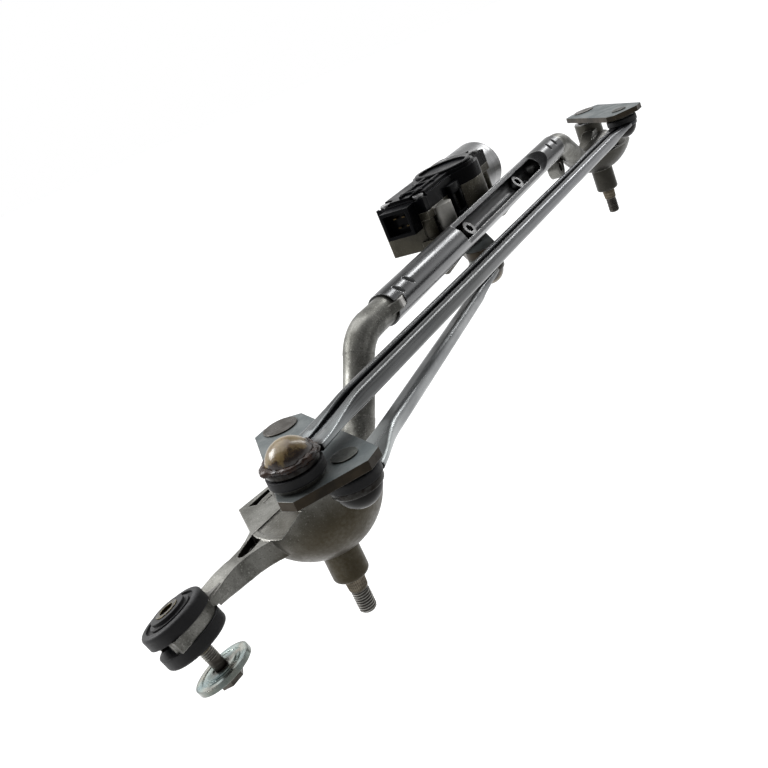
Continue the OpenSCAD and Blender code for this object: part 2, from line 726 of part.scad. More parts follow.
// Nylon socket over a ball, domed away from the plate
module ball_socket() {
    dome_z = -1.5;
    difference() {
        union() {
            intersection() {
                translate([0, 0, dome_z]) sphere(r = socket_r);
                translate([-socket_r, -socket_r, 0]) cube([2 * socket_r, 2 * socket_r, socket_r]);
            }
            translate([0, 0, -socket_low]) cylinder(r = waist_r, h = socket_low);
        }
        sphere(r = ball_r + free_gap);
        translate([0, 0, -socket_low - 1]) cylinder(r = mouth_r, h = socket_low);
    }
}
// Rubber boot between the link's eye and the plate
module ball_boot() {
    lip_t = 1.2;
    translate([0, 0, -boot_low]) difference() {
        cylinder(r = boot_r, h = boot_low - boot_top);
        edge_waste(boot_r, 1);
        translate([0, 0, lip_t]) cylinder(r = waist_r + snug, h = boot_low);
        translate([0, 0, -1]) cylinder(r = mouth_r, h = boot_low);
    }
}
module long_driven_socket() { color("goldenrod") up_at(long_near) ball_socket(); }
module long_driven_boot() { color("#26262a") up_at(long_near) ball_boot(); }
module long_follower_socket() { color("#26262a") down_at(long_far) ball_socket(); }
module long_follower_boot() { color("#26262a") down_at(long_far) ball_boot(); }
module drive_lever_socket() { color("#26262a") down_at(drive_near) ball_socket(); }
module drive_lever_boot() { color("#26262a") down_at(drive_near) ball_boot(); }
module drive_crank_socket() { color("goldenrod") down_at(crank_pin) ball_socket(); }
module drive_crank_boot() { color("#26262a") down_at(crank_pin) ball_boot(); }

// Link bars: seamed pressings that flatten into an eye at each end
bar_corner = 3;
drive_drop = drive_bar_h / 2 - eye_t / 2 - 0.3;
module rounded_2d(w, h, corner) {
    square([w - 2 * corner, h], center = true);
    square([w, h - 2 * corner], center = true);
    for (x = [-1, 1], y = [-1, 1])
        translate([x * (w / 2 - corner), y * (h / 2 - corner)]) circle(r = corner);
}
module bar_run(len, w, h, groove) {
    rotate([90, 0, 90]) linear_extrude(len) difference() {
        rounded_2d(w, h, bar_corner);
        if (groove) translate([0, h / 2]) square([seam_w, 2 * seam_depth], center = true);
    }
}
// One end: eye at the origin, flat tongue along +X, then a flare down to the bar
module bar_end(tongue, tongue_w, w, h, drop) {
    step = 0.2;
    half_t = eye_t / 2;
    half_h = h / 2 - step;
    half_w = w / 2 - step;
    len = tongue + flare_len;
    difference() {
        union() {
            cylinder(r = eye_r, h = eye_t, center = true);
            intersection() {
                translate([0, 0, -drop]) rotate([90, 0, 90]) linear_extrude(len + 1)
                    rounded_2d(max(tongue_w, w) - 2 * step, h - 2 * step, bar_corner - step);
                rotate([90, 0, 0]) linear_extrude(2 * w, center = true) polygon([
                    [-1, -half_t], [tongue, -half_t], [len, -half_h - drop - 1], [len + 1, -half_h - drop - 1],
                    [len + 1, half_h - drop + 1], [len, half_h - drop + 1], [tongue, half_t], [-1, half_t]
                ]);
                linear_extrude(4 * h, center = true) polygon([
                    [-1, -tongue_w], [tongue, -tongue_w], [tongue, -tongue_w / 2], [len - 2, -half_w], [len + 2, -half_w],
                    [len + 2, half_w], [len - 2, half_w], [tongue, tongue_w / 2], [tongue, tongue_w], [-1, tongue_w]
                ]);
            }
        }
        cylinder(r = waist_r + snug, h = deep, center = true);
    }
}
module link_bar(from, to, eye_from, eye_to, tongue_w, w, h, groove, drop = 0) {
    a = atan2(to[1] - from[1], to[0] - from[0]);
    span = norm([to[0] - from[0], to[1] - from[1]]);
    z0 = from[2] + eye_from * eye_t / 2;
    rise = to[2] + eye_to * eye_t / 2 - z0;
    first = tongue_len + flare_len;
    run = span - 2 * first;
    translate([from[0], from[1], z0]) rotate([0, 0, a]) {
        bar_end(tongue_len, tongue_w, w, h, drop);
        translate([span, 0, rise]) mirror([1, 0, 0]) bar_end(tongue_len, tongue_w, w, h, drop);
        translate([first, 0, -drop]) rotate([0, -atan2(rise, run), 0]) bar_run(norm([run, rise]), w, h, groove);
    }
}
module long_bar() {
    color("lightsteelblue") link_bar(long_near, long_far, -1, 1, bar_w, bar_w, bar_h, true);
}
module drive_bar() {
    color("lightsteelblue") link_bar(drive_near, crank_pin, 1, 1, drive_tongue_w, drive_bar_w, drive_bar_h, false, drive_drop);
}

// Crank on the motor's output shaft
nut_h = 4.6;
nut_r = 6.6;
crank_bore_r = output_r - 0.6;
module crank_arm() {
    color("dimgray") at_crank() translate([0, 0, crank_z]) rotate([0, 0, crank_angle]) difference() {
        linear_extrude(crank_t) taper_2d(crank_root_r, crank_tip_r, crank_r);
        translate([0, 0, -1]) cylinder(r = crank_bore_r + snug, h = crank_t + 2);
    }
}
module crank_nut() {
    color("gray") at_crank() translate([0, 0, crank_z - nut_h]) difference() {
        cylinder(r = nut_r, h = nut_h, $fn = 6);
        translate([0, 0, -1]) cylinder(r = crank_bore_r + snug, h = nut_h + 2);
    }
}
module output_shaft() {
    color("gray") at_crank() {
        translate([0, 0, crank_z - nut_h]) cylinder(r = crank_bore_r, h = nut_h + crank_t);
        translate([0, 0, crank_z + crank_t]) cylinder(r = output_r, h = output_top - crank_z - crank_t);
    }
}

// Gear motor
boss_low = crank_z + crank_t + free_gap + 0.4;
wall_recess = 7;
rim_h = 5;
post_r = 7.2;
post_x = 12;
case_rim = 6;
flange_out = can_r + 1.5;
can_screw_r = 1.5;
can_ear_r = 3.6;
// At each of the two screws that hold the can, local Z along the worm from the joint face
module for_can_screws() {
    for (a = [90, 270]) at_worm(can_start) rotate([0, 0, a]) translate([can_r + 3.2, 0, 0]) children();
}
module can_ears(x, h) {
    translate([x - can_start, 0, 0]) for_can_screws() cylinder(r = can_ear_r, h = h);
}
side_z = case_z + 9;
pillar_y = tube_y + tube_r + 3;
module case_outline(inset) {
    translate([crank_x, crank_y]) circle(r = case_r - inset);
    side_outline(inset);
}
module side_outline(inset, front = 0) {
    y0 = box_y0 + inset + front;
    translate([case_start + inset, y0]) square([can_start - 4 - case_start - 2 * inset, box_y1 - inset - y0]);
}
cover_screw_at = [
    [case_start + 5, box_y0 + 5], [case_start + 5, box_y1 - 5],
    [can_start - 9, box_y0 + 5], [can_start - 9, box_y1 - 5]
];
cover_boss_r = 4.5;
cover_screw_r = 1.8;
module pillars() {
    for (x = pillar_x) on_trough(x) mirror([0, 0, 1]) translate([0, 0, tube_r - 2])
        cylinder(r = pillar_r, h = box_y0 - tube_y + 6);
}
module gear_case() {
    worm_tube_r = worm_r + 5.5;
    color("gainsboro") difference() {
        union() {
            at_crank() translate([0, 0, case_z]) cylinder(r = case_r, h = seam_z - case_z);
            translate([0, 0, side_z]) linear_extrude(seam_z - side_z) side_outline(0, wall_recess);
            translate([0, 0, seam_z - rim_h]) linear_extrude(rim_h) side_outline(0);
            translate([pillar_x[0] + post_x, box_y0 - 1, side_z]) cylinder(r = post_r, h = seam_z - side_z - 1);
            at_crank() translate([0, 0, boss_low]) cylinder(r = output_boss_r, h = case_z - boss_low + 1);
            at_worm(case_start + 34) cylinder(r = worm_tube_r, h = can_start - case_start - 34);
            at_worm(can_start - case_rim) cylinder(r = flange_out, h = case_rim - snug);
            can_ears(can_start - case_rim, case_rim - snug);
            pillars();
            for (x = pillar_x) translate([x - pillar_r, pillar_y, side_z - 10])
                cube([2 * pillar_r, box_y0 + wall_recess + 3 - pillar_y, 16]);
            for (p = cover_screw_at) translate(level(p, case_z + 10))
                cylinder(r = cover_boss_r, h = seam_z - case_z - 10);
        }
        // saddle on the frame tube, and the screw holes
        on_tube() rod_x(tube_r + snug, 0, shaft_spacing);
        for (x = pillar_x) on_trough(x) mirror([0, 0, 1]) cylinder(r = motor_screw_r + snug, h = screw_len);
        // wheel chamber, closed by the cover
        at_crank() translate([0, 0, case_z + case_wall]) cylinder(r = case_r - case_wall, h = deep);
        translate([0, 0, side_z + case_wall]) intersection() {
            linear_extrude(deep) side_outline(case_wall, wall_recess);
            translate([case_start, 0, 0]) cube([crank_x - case_start - 26, box_y1, deep]);
        }
        for (p = cover_screw_at) translate(level(p, seam_z - 9)) cylinder(r = cover_screw_r, h = 20);
        // bores on the output axis and the worm axis
        at_crank() translate([0, 0, boss_low - 1]) cylinder(r = output_r + 2 + snug, h = case_z - boss_low + 8);
        at_worm(case_start + 38) cylinder(r = worm_r + 2, h = can_start - case_start);
        for_can_screws() translate([0, 0, -case_rim + 0.8]) cylinder(r = can_screw_r + snug, h = case_rim);
        // room for the turning crank
        at_crank() translate([0, 0, crank_z - 30]) cylinder(r = crank_r + crank_tip_r + 2, h = boss_low - crank_z + 30);
    }
}
module output_bush() {
    color("peru") at_crank() translate([0, 0, boss_low])
        ring(output_r + 2, output_r + running, case_z + case_wall - boss_low);
}
module worm_bush() {
    color("peru") at_worm(can_start - 16) ring(worm_r + 2 - snug, armature_shaft_r + running, 9);
}
connector_w = 20;
connector_len = 11;
connector_h = 17;
connector_y = box_y0 + 6.5;
connector_z = seam_z - 9;
module gear_cover() {
    shell = 2.4;
    top = seam_z + cover_h;
    color("#1d1e21") difference() {
        union() {
            translate([0, 0, seam_z]) linear_extrude(cover_h - 2) case_outline(0);
            translate([0, 0, top - 2.01]) linear_extrude(2.01) case_outline(2.5);
            for (p = cover_screw_at) translate(level(p, seam_z)) cylinder(r = cover_boss_r + 0.6, h = cover_h - 3);
            translate([case_start - connector_len, connector_y, connector_z])
                cube([connector_len - snug, connector_w, connector_h]);
            translate([case_start - connector_len, connector_y, seam_z])
                cube([connector_len + 4, connector_w, connector_z + connector_h - seam_z]);
        }
        translate([0, 0, seam_z - 1]) linear_extrude(cover_h - shell - 1) case_outline(case_wall);
        for (p = cover_screw_at) translate(level(p, seam_z - 1)) cylinder(r = cover_screw_r + snug, h = 40);
        for (p = cover_screw_at) translate(level(p, seam_z + cover_h - 3)) cylinder(r = cover_boss_r + 0.6, h = 20);
        // plug socket, open towards the driven side
        translate([case_start - connector_len - 1, connector_y + 2, connector_z + 2])
            cube([connector_len - 3, connector_w - 4, connector_h - 4]);
        for_pins() translate([0, -snug, -snug]) cube([pin_len + snug, pin_w + 2 * snug, pin_t + 2 * snug]);
        at_worm(can_start - case_rim - free_gap) cylinder(r = flange_out + free_gap, h = 20);
    }
}
module cover_screws() {
    color("silver") for (p = cover_screw_at) translate(level(p, seam_z - 8)) {
        cylinder(r = cover_screw_r - snug, h = cover_h + 5);
        translate([0, 0, cover_h + 5]) cylinder(r = 3.4, h = 2.4);
    }
}
pin_len = connector_len - 7;
pin_w = 2.2;
pin_t = 0.8;
module for_pins() {
    for (row = [0, 1], i = [0 : 1]) translate([
        case_start - connector_len + 4.5, connector_y + 4.5 + 6 * i + row * 1.2, connector_z + 5 + 6 * row
    ]) children();
}
module connector_pins() { color("khaki") for_pins() cube([pin_len, pin_w, pin_t]); }
screw_len = 26;
module motor_screws() {
    color("silver") for (x = pillar_x) on_trough(x) translate([0, 0, -screw_seat]) {
        mirror([0, 0, 1]) cylinder(r = motor_screw_r - snug, h = screw_len - screw_seat - 1);
        difference() {
            cylinder(r = screw_head_r, h = screw_head_h);
            translate([0, 0, screw_head_h - 2.6]) cylinder(r = 2.9, h = 4, $fn = 6);
        }
    }
}
module motor_can() {
    nose_r = 7;
    nose_len = 4;
    color("silver") difference() {
        union() {
            at_worm(can_start) cylinder(r = can_r, h = can_len - 3);
            at_worm(can_start) cylinder(r = flange_out, h = can_flange_t);
            can_ears(can_start, can_flange_t);
            at_worm(can_end - 3) cylinder(r1 = can_r, r2 = can_r - 3, h = 3);
            at_worm(can_end - 1) cylinder(r = nose_r, h = nose_len + 1);
        }
        at_worm(can_start - 1) cylinder(r = can_r - can_wall, h = can_len - 2);
        at_worm(can_end - 5) cylinder(r = nose_r - can_wall, h = 8);
        for_can_screws() translate([0, 0, -1]) cylinder(r = can_screw_r + snug, h = can_flange_t + 2);
    }
}
can_flange_t = 2;
module rear_bush() {
    color("peru") at_worm(can_end - 3) ring(5.5 - snug, armature_shaft_r + running, 5);
}
module can_screws() {
    color("dimgray") for_can_screws() {
        translate([0, 0, 1 - case_rim]) cylinder(r = can_screw_r, h = case_rim + can_flange_t);
        translate([0, 0, can_flange_t + snug]) cylinder(r = 3, h = 2.4);
    }
}
// Clip band round the can
module can_clip() {
    color("#18181a") at_worm(can_start + can_flange_t + 3.5) ring(can_r + 1.2, can_r + snug, 2.2);
}
module magnets() {
    color("#3a3532") at_worm(can_start + 12) for (side = [0, 180]) rotate([0, 0, side]) difference() {
        ring(can_r - can_wall - snug, can_r - can_wall - magnet_t, can_len - core_start - 8);
        translate([-deep / 2, -deep, -1]) cube([deep, deep + 4, deep]);
    }
}
module brush_plate() {
    color("#2c2a28") at_worm(can_start + 0.5) ring(can_r - can_wall - snug, commutator_r + 4, 3);
}
commutator_r = 7.5;
module brushes() {
    color("#202022") for (side = [-1, 1]) translate([brush_x, worm_y + side * (commutator_r + free_gap + 3), worm_z])
        translate([0, -3, -2.5]) cube([6, 6, 5]);
}
module worm_wheel() {
    tooth = 1.6;
    step = 360 / wheel_teeth;
    color("ivory") at_crank() translate([0, 0, worm_z - wheel_t / 2]) difference() {
        linear_extrude(wheel_t) polygon([
            for (i = [0 : wheel_teeth - 1], k = [[0, 0], [0.25, 0], [0.5, 1], [0.75, 1]])
                polar(wheel_r - tooth * (1 - k[1]), step * (i + k[0]))
        ]);
        translate([0, 0, -1]) cylinder(r = output_r + snug, h = wheel_t + 2);
        for (side = [0, 1]) translate([0, 0, side * (wheel_t - 3)]) translate([0, 0, side - 0.5])
            ring(wheel_r - 4, output_r + 3, 2.5);
    }
}
module worm_shaft() {
    color("gray") {
        at_worm(case_start + 42) cylinder(r = armature_shaft_r, h = can_end - case_start - 42);
        at_worm(crank_x - worm_len / 2) cylinder(r = worm_r, h = worm_len);
    }
}
module armature_core() {
    slots = 8;
    color("#4a3a30") at_worm(can_start + core_start) difference() {
        cylinder(r = core_r, h = can_len - core_start - 10);
        translate([0, 0, -1]) cylinder(r = armature_shaft_r + snug, h = can_len);
        for (i = [0 : slots - 1]) rotate([0, 0, 360 / slots * i])
            translate([core_r - 4, -1, -1]) cube([6, 2, can_len]);
    }
}
module commutator() {
    color("#b5763a") at_worm(can_start + 4) ring(commutator_r, armature_shaft_r + snug, 8);
}

frame_tube();
driven_housing();
follower_housing();
driven_upper_bush();
driven_lower_bush();
follower_upper_bush();
follower_lower_bush();
driven_thrust_washer();
follower_thrust_washer();
driven_grommet();
driven_spacer();
gear_case();
gear_cover();
cover_screws();
connector_pins();
motor_screws();
motor_can();
can_screws();
can_clip();
magnets();
brush_plate();
brushes();
output_bush();
worm_bush();
rear_bush();
driven_shaft();
driven_lever();
long_link_stud();
drive_link_stud();
driven_circlip();
follower_shaft();
follower_lever();
follower_stud();
follower_circlip();
long_bar();
long_driven_socket();
long_driven_boot();
long_follower_socket();
long_follower_boot();
drive_bar();
drive_lever_socket();
drive_lever_boot();
drive_crank_socket();
drive_crank_boot();
crank_stud();
crank_arm();
crank_nut();
output_shaft();
worm_wheel();
worm_shaft();
armature_core();
commutator();
fixing_bolt();
bolt_disc();
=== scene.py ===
"""Looks of the wiper linkage: finishes, smooth link pressings, threads, knurls and small details.

Units are metres, in the same frame as the solids: origin at the driven shaft's thread start,
X towards the follower shaft, Z up along the shafts.
"""
import json
import math

import bmesh
import bpy
from mathutils import Matrix, Vector


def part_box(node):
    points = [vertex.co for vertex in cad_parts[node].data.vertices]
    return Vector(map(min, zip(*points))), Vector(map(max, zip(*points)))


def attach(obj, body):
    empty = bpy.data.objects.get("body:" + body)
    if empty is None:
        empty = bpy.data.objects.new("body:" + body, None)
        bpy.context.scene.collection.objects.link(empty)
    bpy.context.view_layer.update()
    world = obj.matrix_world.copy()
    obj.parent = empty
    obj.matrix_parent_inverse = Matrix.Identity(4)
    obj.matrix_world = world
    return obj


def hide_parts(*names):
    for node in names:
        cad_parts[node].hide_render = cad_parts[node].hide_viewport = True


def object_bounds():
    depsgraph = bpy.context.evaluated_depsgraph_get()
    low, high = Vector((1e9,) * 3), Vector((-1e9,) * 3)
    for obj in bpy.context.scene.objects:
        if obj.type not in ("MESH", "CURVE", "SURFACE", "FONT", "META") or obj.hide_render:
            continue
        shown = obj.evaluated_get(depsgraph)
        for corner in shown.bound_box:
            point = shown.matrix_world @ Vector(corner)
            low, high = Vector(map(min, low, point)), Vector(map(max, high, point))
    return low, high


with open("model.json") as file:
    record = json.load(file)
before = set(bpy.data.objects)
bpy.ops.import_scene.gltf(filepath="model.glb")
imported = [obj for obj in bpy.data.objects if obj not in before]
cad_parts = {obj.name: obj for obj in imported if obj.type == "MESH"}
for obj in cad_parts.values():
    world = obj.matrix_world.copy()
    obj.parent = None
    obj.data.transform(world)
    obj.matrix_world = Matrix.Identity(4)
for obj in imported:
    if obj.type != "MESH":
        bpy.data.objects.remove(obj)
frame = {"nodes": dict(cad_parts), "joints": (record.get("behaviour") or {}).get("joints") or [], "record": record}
nodes = frame["nodes"]
cad_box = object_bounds()
mm = 0.001
scene = bpy.context.scene


# Shader helpers


def map_range(tree, value, low, high, to_low, to_high):
    """Node that carries a value from low..high over to to_low..to_high."""
    made = tree.nodes.new("ShaderNodeMapRange")
    tree.links.new(value, made.inputs["Value"])
    limits = {"From Min": low, "From Max": high, "To Min": to_low, "To Max": to_high}
    for key, limit in limits.items():
        made.inputs[key].default_value = limit
    return made


class Shader:
    """A node material under construction, with one method for each kind of node it uses."""

    def __init__(self, name):
        self.material = bpy.data.materials.new(name)
        self.material.use_nodes = True
        self.tree = self.material.node_tree
        self.bsdf = self.tree.nodes["Principled BSDF"]
        self.coords = self.node("ShaderNodeTexCoord").outputs["Object"]
        self.geometry = self.node("ShaderNodeNewGeometry")

    def node(self, kind, **settings):
        made = self.tree.nodes.new(kind)
        for key, value in settings.items():
            setattr(made, key, value)
        return made

    def link(self, source, target):
        self.tree.links.new(source, target)

    def put(self, value, socket):
        """Sets a socket from a number, a colour or another node's output."""
        if isinstance(value, bpy.types.NodeSocket):
            self.link(value, socket)
        elif isinstance(value, (tuple, list)) and socket.type == "RGBA":
            socket.default_value = (*value[:3], 1.0)
        else:
            socket.default_value = value

    def noise(self, size, detail=3.0, stretch=(1, 1, 1), rough=0.55):
        """Noise whose patches measure about size metres, stretched along the axes given."""
        mapping = self.node("ShaderNodeMapping")
        mapping.inputs["Scale"].default_value = tuple(1.0 / s for s in stretch)
        self.link(self.coords, mapping.inputs["Vector"])
        made = self.node("ShaderNodeTexNoise")
        made.inputs["Scale"].default_value = 0.5 / size
        made.inputs["Detail"].default_value = detail
        made.inputs["Roughness"].default_value = rough
        self.link(mapping.outputs["Vector"], made.inputs["Vector"])
        return made.outputs["Fac"]

    def ramp(self, value, low, high, to_low=0.0, to_high=1.0, smooth=False):
        made = map_range(self.tree, value, low, high, to_low, to_high)
        made.interpolation_type = "SMOOTHSTEP" if smooth else "LINEAR"
        return made.outputs["Result"]

    def math(self, operation, a, b=0.0):
        made = self.node("ShaderNodeMath", operation=operation)
        self.put(a, made.inputs[0])
        self.put(b, made.inputs[1])
        return made.outputs[0]

    def times(self, a, b):
        return self.math("MULTIPLY", a, b)

    def vector_math(self, operation, a, b=None):
        made = self.node("ShaderNodeVectorMath", operation=operation)
        self.put(a, made.inputs[0])
        if b is not None:
            self.put(b, made.inputs[1])
        return made.outputs

    def mix(self, factor, a, b):
        made = self.node("ShaderNodeMix", data_type="RGBA")
        self.put(factor, made.inputs["Factor"])
        self.put(a, made.inputs[6])
        self.put(b, made.inputs[7])
        return made.outputs[2]

    def split(self, vector):
        made = self.node("ShaderNodeSeparateXYZ")
        self.link(vector, made.inputs[0])
        return made.outputs

    def edges(self, radius):
        """(how near an edge is, rounded normal): the mask is 1 on an edge and 0 on open faces."""
        bevel = self.node("ShaderNodeBevel", samples=6)
        bevel.inputs["Radius"].default_value = radius
        rounded = bevel.outputs["Normal"]
        agree = self.vector_math("DOT_PRODUCT", rounded, self.geometry.outputs["True Normal"])["Value"]
        return self.ramp(agree, 0.995, 0.8), rounded

    def crevice_shade(self, distance):
        """Mask of painted shade: 1 in tight corners and pockets, 0 in the open."""
        made = self.node("ShaderNodeAmbientOcclusion", samples=8)
        made.inputs["Distance"].default_value = distance
        return self.ramp(made.outputs["AO"], 0.88, 0.42)

    def near(self, point, inner, outer, across):
        """1 within inner metres of a point, 0 beyond outer, measured on the axes that across keeps."""
        flat = self.vector_math("MULTIPLY", self.coords, across)[0]
        goal = tuple(p * a for p, a in zip(point, across))
        gap = self.vector_math("DISTANCE", flat, goal)["Value"]
        return self.ramp(gap, inner, outer, 1.0, 0.0, smooth=True)

    def varied(self, mask, at_zero, at_one, fine, spread):
        """Roughness that follows a mask, with a fine variation of spread either way."""
        return self.math("ADD", self.ramp(mask, 0, 1, at_zero, at_one),
                         self.ramp(fine, 0.3, 0.7, -spread, spread))

    def bump(self, height, depth, strength=1.0, normal=None):
        made = self.node("ShaderNodeBump")
        made.inputs["Strength"].default_value = strength
        made.inputs["Distance"].default_value = depth
        self.put(height, made.inputs["Height"])
        if normal is not None:
            self.link(normal, made.inputs["Normal"])
        return made.outputs["Normal"]

    def finish(self, colour, roughness, normal, **constants):
        self.put(colour, self.bsdf.inputs["Base Color"])
        self.put(roughness, self.bsdf.inputs["Roughness"])
        self.link(normal, self.bsdf.inputs["Normal"])
        for key, value in constants.items():
            self.put(value, self.bsdf.inputs[key.replace("_", " ")])
        return self.material


def metal(name, light, dark, grime_and_shade, rough, patch, grain, depth, stretch=(1, 1, 1), edge=0.5 * mm,
          edge_colour=None, shade_reach=4 * mm, metallic=1.0, grit=None, spots=(), **constants):
    """Worn metal: light and dark patches, fine grain, painted shade in the corners and rubbed edges.

    patch and grain are the sizes of the patches and the grain, depth is the height of the grain,
    shade_reach is how far the painted shade reaches out of a corner, grime_and_shade is the colour
    of that shade and of the fine dark specks, grit is the colour of fine bright specks, and
    spots are tints in certain places, some of them painted light or shade.
    """
    s = Shader(name)
    patches = s.ramp(s.noise(patch, 4, stretch), 0.32, 0.68, smooth=True)
    fine = s.noise(grain, 4, stretch)
    near_edge, rounded = s.edges(edge)
    colour = s.mix(patches, dark, light)
    colour = s.mix(s.ramp(fine, 0.45, 0.75, 0.0, 0.4), colour, light)
    if grit:
        specks = s.noise(0.35 * mm, 2)
        colour = s.mix(s.ramp(specks, 0.6, 0.7, 0.0, 0.55), colour, grit)
        colour = s.mix(s.ramp(specks, 0.4, 0.3, 0.0, 0.5), colour, grime_and_shade)
    thin = s.ramp(fine, 0.3, 0.7, 0.86, 1.0)
    for where, tint in spots:
        colour = s.mix(s.times(s.near(*where), thin), colour, tint)
    broken = s.ramp(fine, 0.3, 0.6, 0.6, 1.0)
    # painted shade: tight corners darkened, broken up by the grain
    colour = s.mix(s.times(s.crevice_shade(shade_reach), broken), colour, grime_and_shade)
    if edge_colour:
        rubbed = s.times(near_edge, s.ramp(fine, 0.4, 0.6, 0.25, 0.9))
        colour = s.mix(rubbed, colour, edge_colour)
    roughness = s.varied(patches, rough[1], rough[0], fine, 0.05)
    return s.finish(colour, roughness, s.bump(fine, depth, 0.6, rounded), Metallic=metallic, **constants)


def moulding(name, base, dust, rough, grain, depth, edge=0.5 * mm, **constants):
    """Rubber or plastic: even colour with dust, a moulded skin and paler rubbed edges."""
    s = Shader(name)
    cloud = s.ramp(s.noise(9 * mm, 4), 0.35, 0.7, smooth=True)
    fine = s.noise(grain, 4)
    near_edge, rounded = s.edges(edge)
    up = s.ramp(s.split(s.geometry.outputs["Normal"])["Z"], 0.2, 1.0)
    dusty = s.times(s.ramp(fine, 0.4, 0.7), s.times(up, cloud))
    colour = s.mix(s.math("ADD", dusty, s.times(near_edge, 0.35)), base, dust)
    roughness = s.varied(cloud, rough[0], rough[1], fine, 0.04)
    return s.finish(colour, roughness, s.bump(fine, depth, 0.6, rounded), **constants)


everywhere = (1, 1, 1)
upright = (1, 1, 0)


def spot(point, inner, outer, tint, across=everywhere):
    """A tint for metal(): full within inner metres of the point, gone beyond outer."""
    return (point, inner, outer, across), tint


def centre(name):
    low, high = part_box(name)
    return (low + high) / 2


# Places that the tints refer to

near_ball = centre("long_driven_socket")
drive_ball = centre("drive_lever_socket")
far_ball = centre("long_follower_socket")
crank_ball = centre("drive_crank_socket")
driven_axis = Vector((0, 0, 0))
follower_axis = Vector((centre("follower_shaft").x, 0, 0))
far_half = Vector((360 * mm, near_ball.y, near_ball.z))
near_bowl = Vector((-8 * mm, -22 * mm, 22 * mm))
far_bowl = follower_axis + Vector((0, 0, 36 * mm))
far_elbow = follower_axis + Vector((-38 * mm, 0, 76 * mm))
crimp_key = Vector((98 * mm, -19.6 * mm, 100 * mm))
post_foot = Vector((222 * mm, 10 * mm, 0))
plug_foot = Vector((190 * mm, 28 * mm, 98 * mm))
spacer_top = Vector((*centre("driven_spacer").xy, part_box("driven_spacer")[1].z))

# Metals

grease_black = (0.009, 0.006, 0.004)
# On the long link: the far half given a darker tone as painted shade, the tongue by the driven ball paler as
# painted light, a darker patch round the far ball, black grease at the driven ball.
link_spots = [spot(far_half, 90 * mm, 260 * mm, (0.082, 0.085, 0.092)),
              spot(near_ball, 16 * mm, 44 * mm, (0.24, 0.255, 0.26)),
              spot(far_ball, 12 * mm, 30 * mm, (0.04, 0.042, 0.045)),
              spot(near_ball, 12 * mm, 15 * mm, grease_black)]
# On the drive link: the flat end by the lever ball paler as painted light, a darker patch round the crank ball,
# black grease at the lever ball.
drive_spots = [spot(drive_ball, 24 * mm, 60 * mm, (0.32, 0.34, 0.34)),
               spot(crank_ball, 11 * mm, 26 * mm, (0.04, 0.038, 0.033)),
               spot(drive_ball, 12.5 * mm, 15 * mm, grease_black)]
# On the castings: a pale crimp key, and painted shade round the near sleeve and bowl bottom, on the far elbow and
# on the far bowl.
casting_spots = [spot(crimp_key, 4 * mm, 6 * mm, (0.55, 0.54, 0.52)),
                 spot(near_bowl, 30 * mm, 52 * mm, (0.045, 0.036, 0.02)),
                 spot(far_elbow, 36 * mm, 66 * mm, (0.05, 0.047, 0.039)),
                 spot(far_bowl, 26 * mm, 50 * mm, (0.03, 0.028, 0.023))]
# On the gear case: painted shade at the plug end, and the pale metal of the post.
motor_spots = [spot(plug_foot, 14 * mm, 36 * mm, (0.03, 0.026, 0.015)),
               spot(post_foot, 7.6 * mm, 8.6 * mm, (0.5, 0.49, 0.46), upright)]
# Painted shade in the roots of both arm threads.
thread_root_shade = [spot(axis, 4.08 * mm, 4.34 * mm, (0.006, 0.005, 0.004), upright)
                for axis in (driven_axis, follower_axis)]

drawn = (14, 1, 1)
turned = (1, 1, 0.2)
zinc_tube = metal(
    "zinc_tube", light=(0.15, 0.152, 0.155), dark=(0.06, 0.061, 0.063), grime_and_shade=(0.011, 0.01, 0.008),
    rough=(0.22, 0.33), patch=7 * mm, grain=0.9 * mm, depth=0.006 * mm, stretch=drawn,
    edge=0.8 * mm, edge_colour=(0.36, 0.36, 0.36), shade_reach=9 * mm)
# The long link's corner colour is a dark navy: painted shade in its seam groove.
zinc_link = metal(
    "zinc_link", light=(0.13, 0.133, 0.134), dark=(0.05, 0.052, 0.052), grime_and_shade=(0.003, 0.004, 0.009),
    rough=(0.22, 0.32), patch=8 * mm, grain=0.9 * mm, depth=0.004 * mm, stretch=drawn,
    edge=0.8 * mm, shade_reach=6 * mm, spots=link_spots)
zinc_drive = metal(
    "zinc_drive", light=(0.2, 0.208, 0.212), dark=(0.09, 0.094, 0.098), grime_and_shade=(0.01, 0.009, 0.008),
    rough=(0.27, 0.38), patch=8 * mm, grain=0.9 * mm, depth=0.005 * mm, stretch=drawn,
    edge=0.9 * mm, spots=drive_spots)
casting = metal(
    "cast_aluminium", light=(0.232, 0.23, 0.212), dark=(0.098, 0.097, 0.086), grime_and_shade=(0.02, 0.017, 0.012),
    rough=(0.34, 0.48), patch=6 * mm, grain=0.9 * mm, depth=0.1 * mm,
    edge=1.0 * mm, edge_colour=(0.4, 0.393, 0.37), shade_reach=10 * mm, metallic=0.75,
    grit=(0.4, 0.393, 0.37), spots=casting_spots, Specular_IOR_Level=0.25)
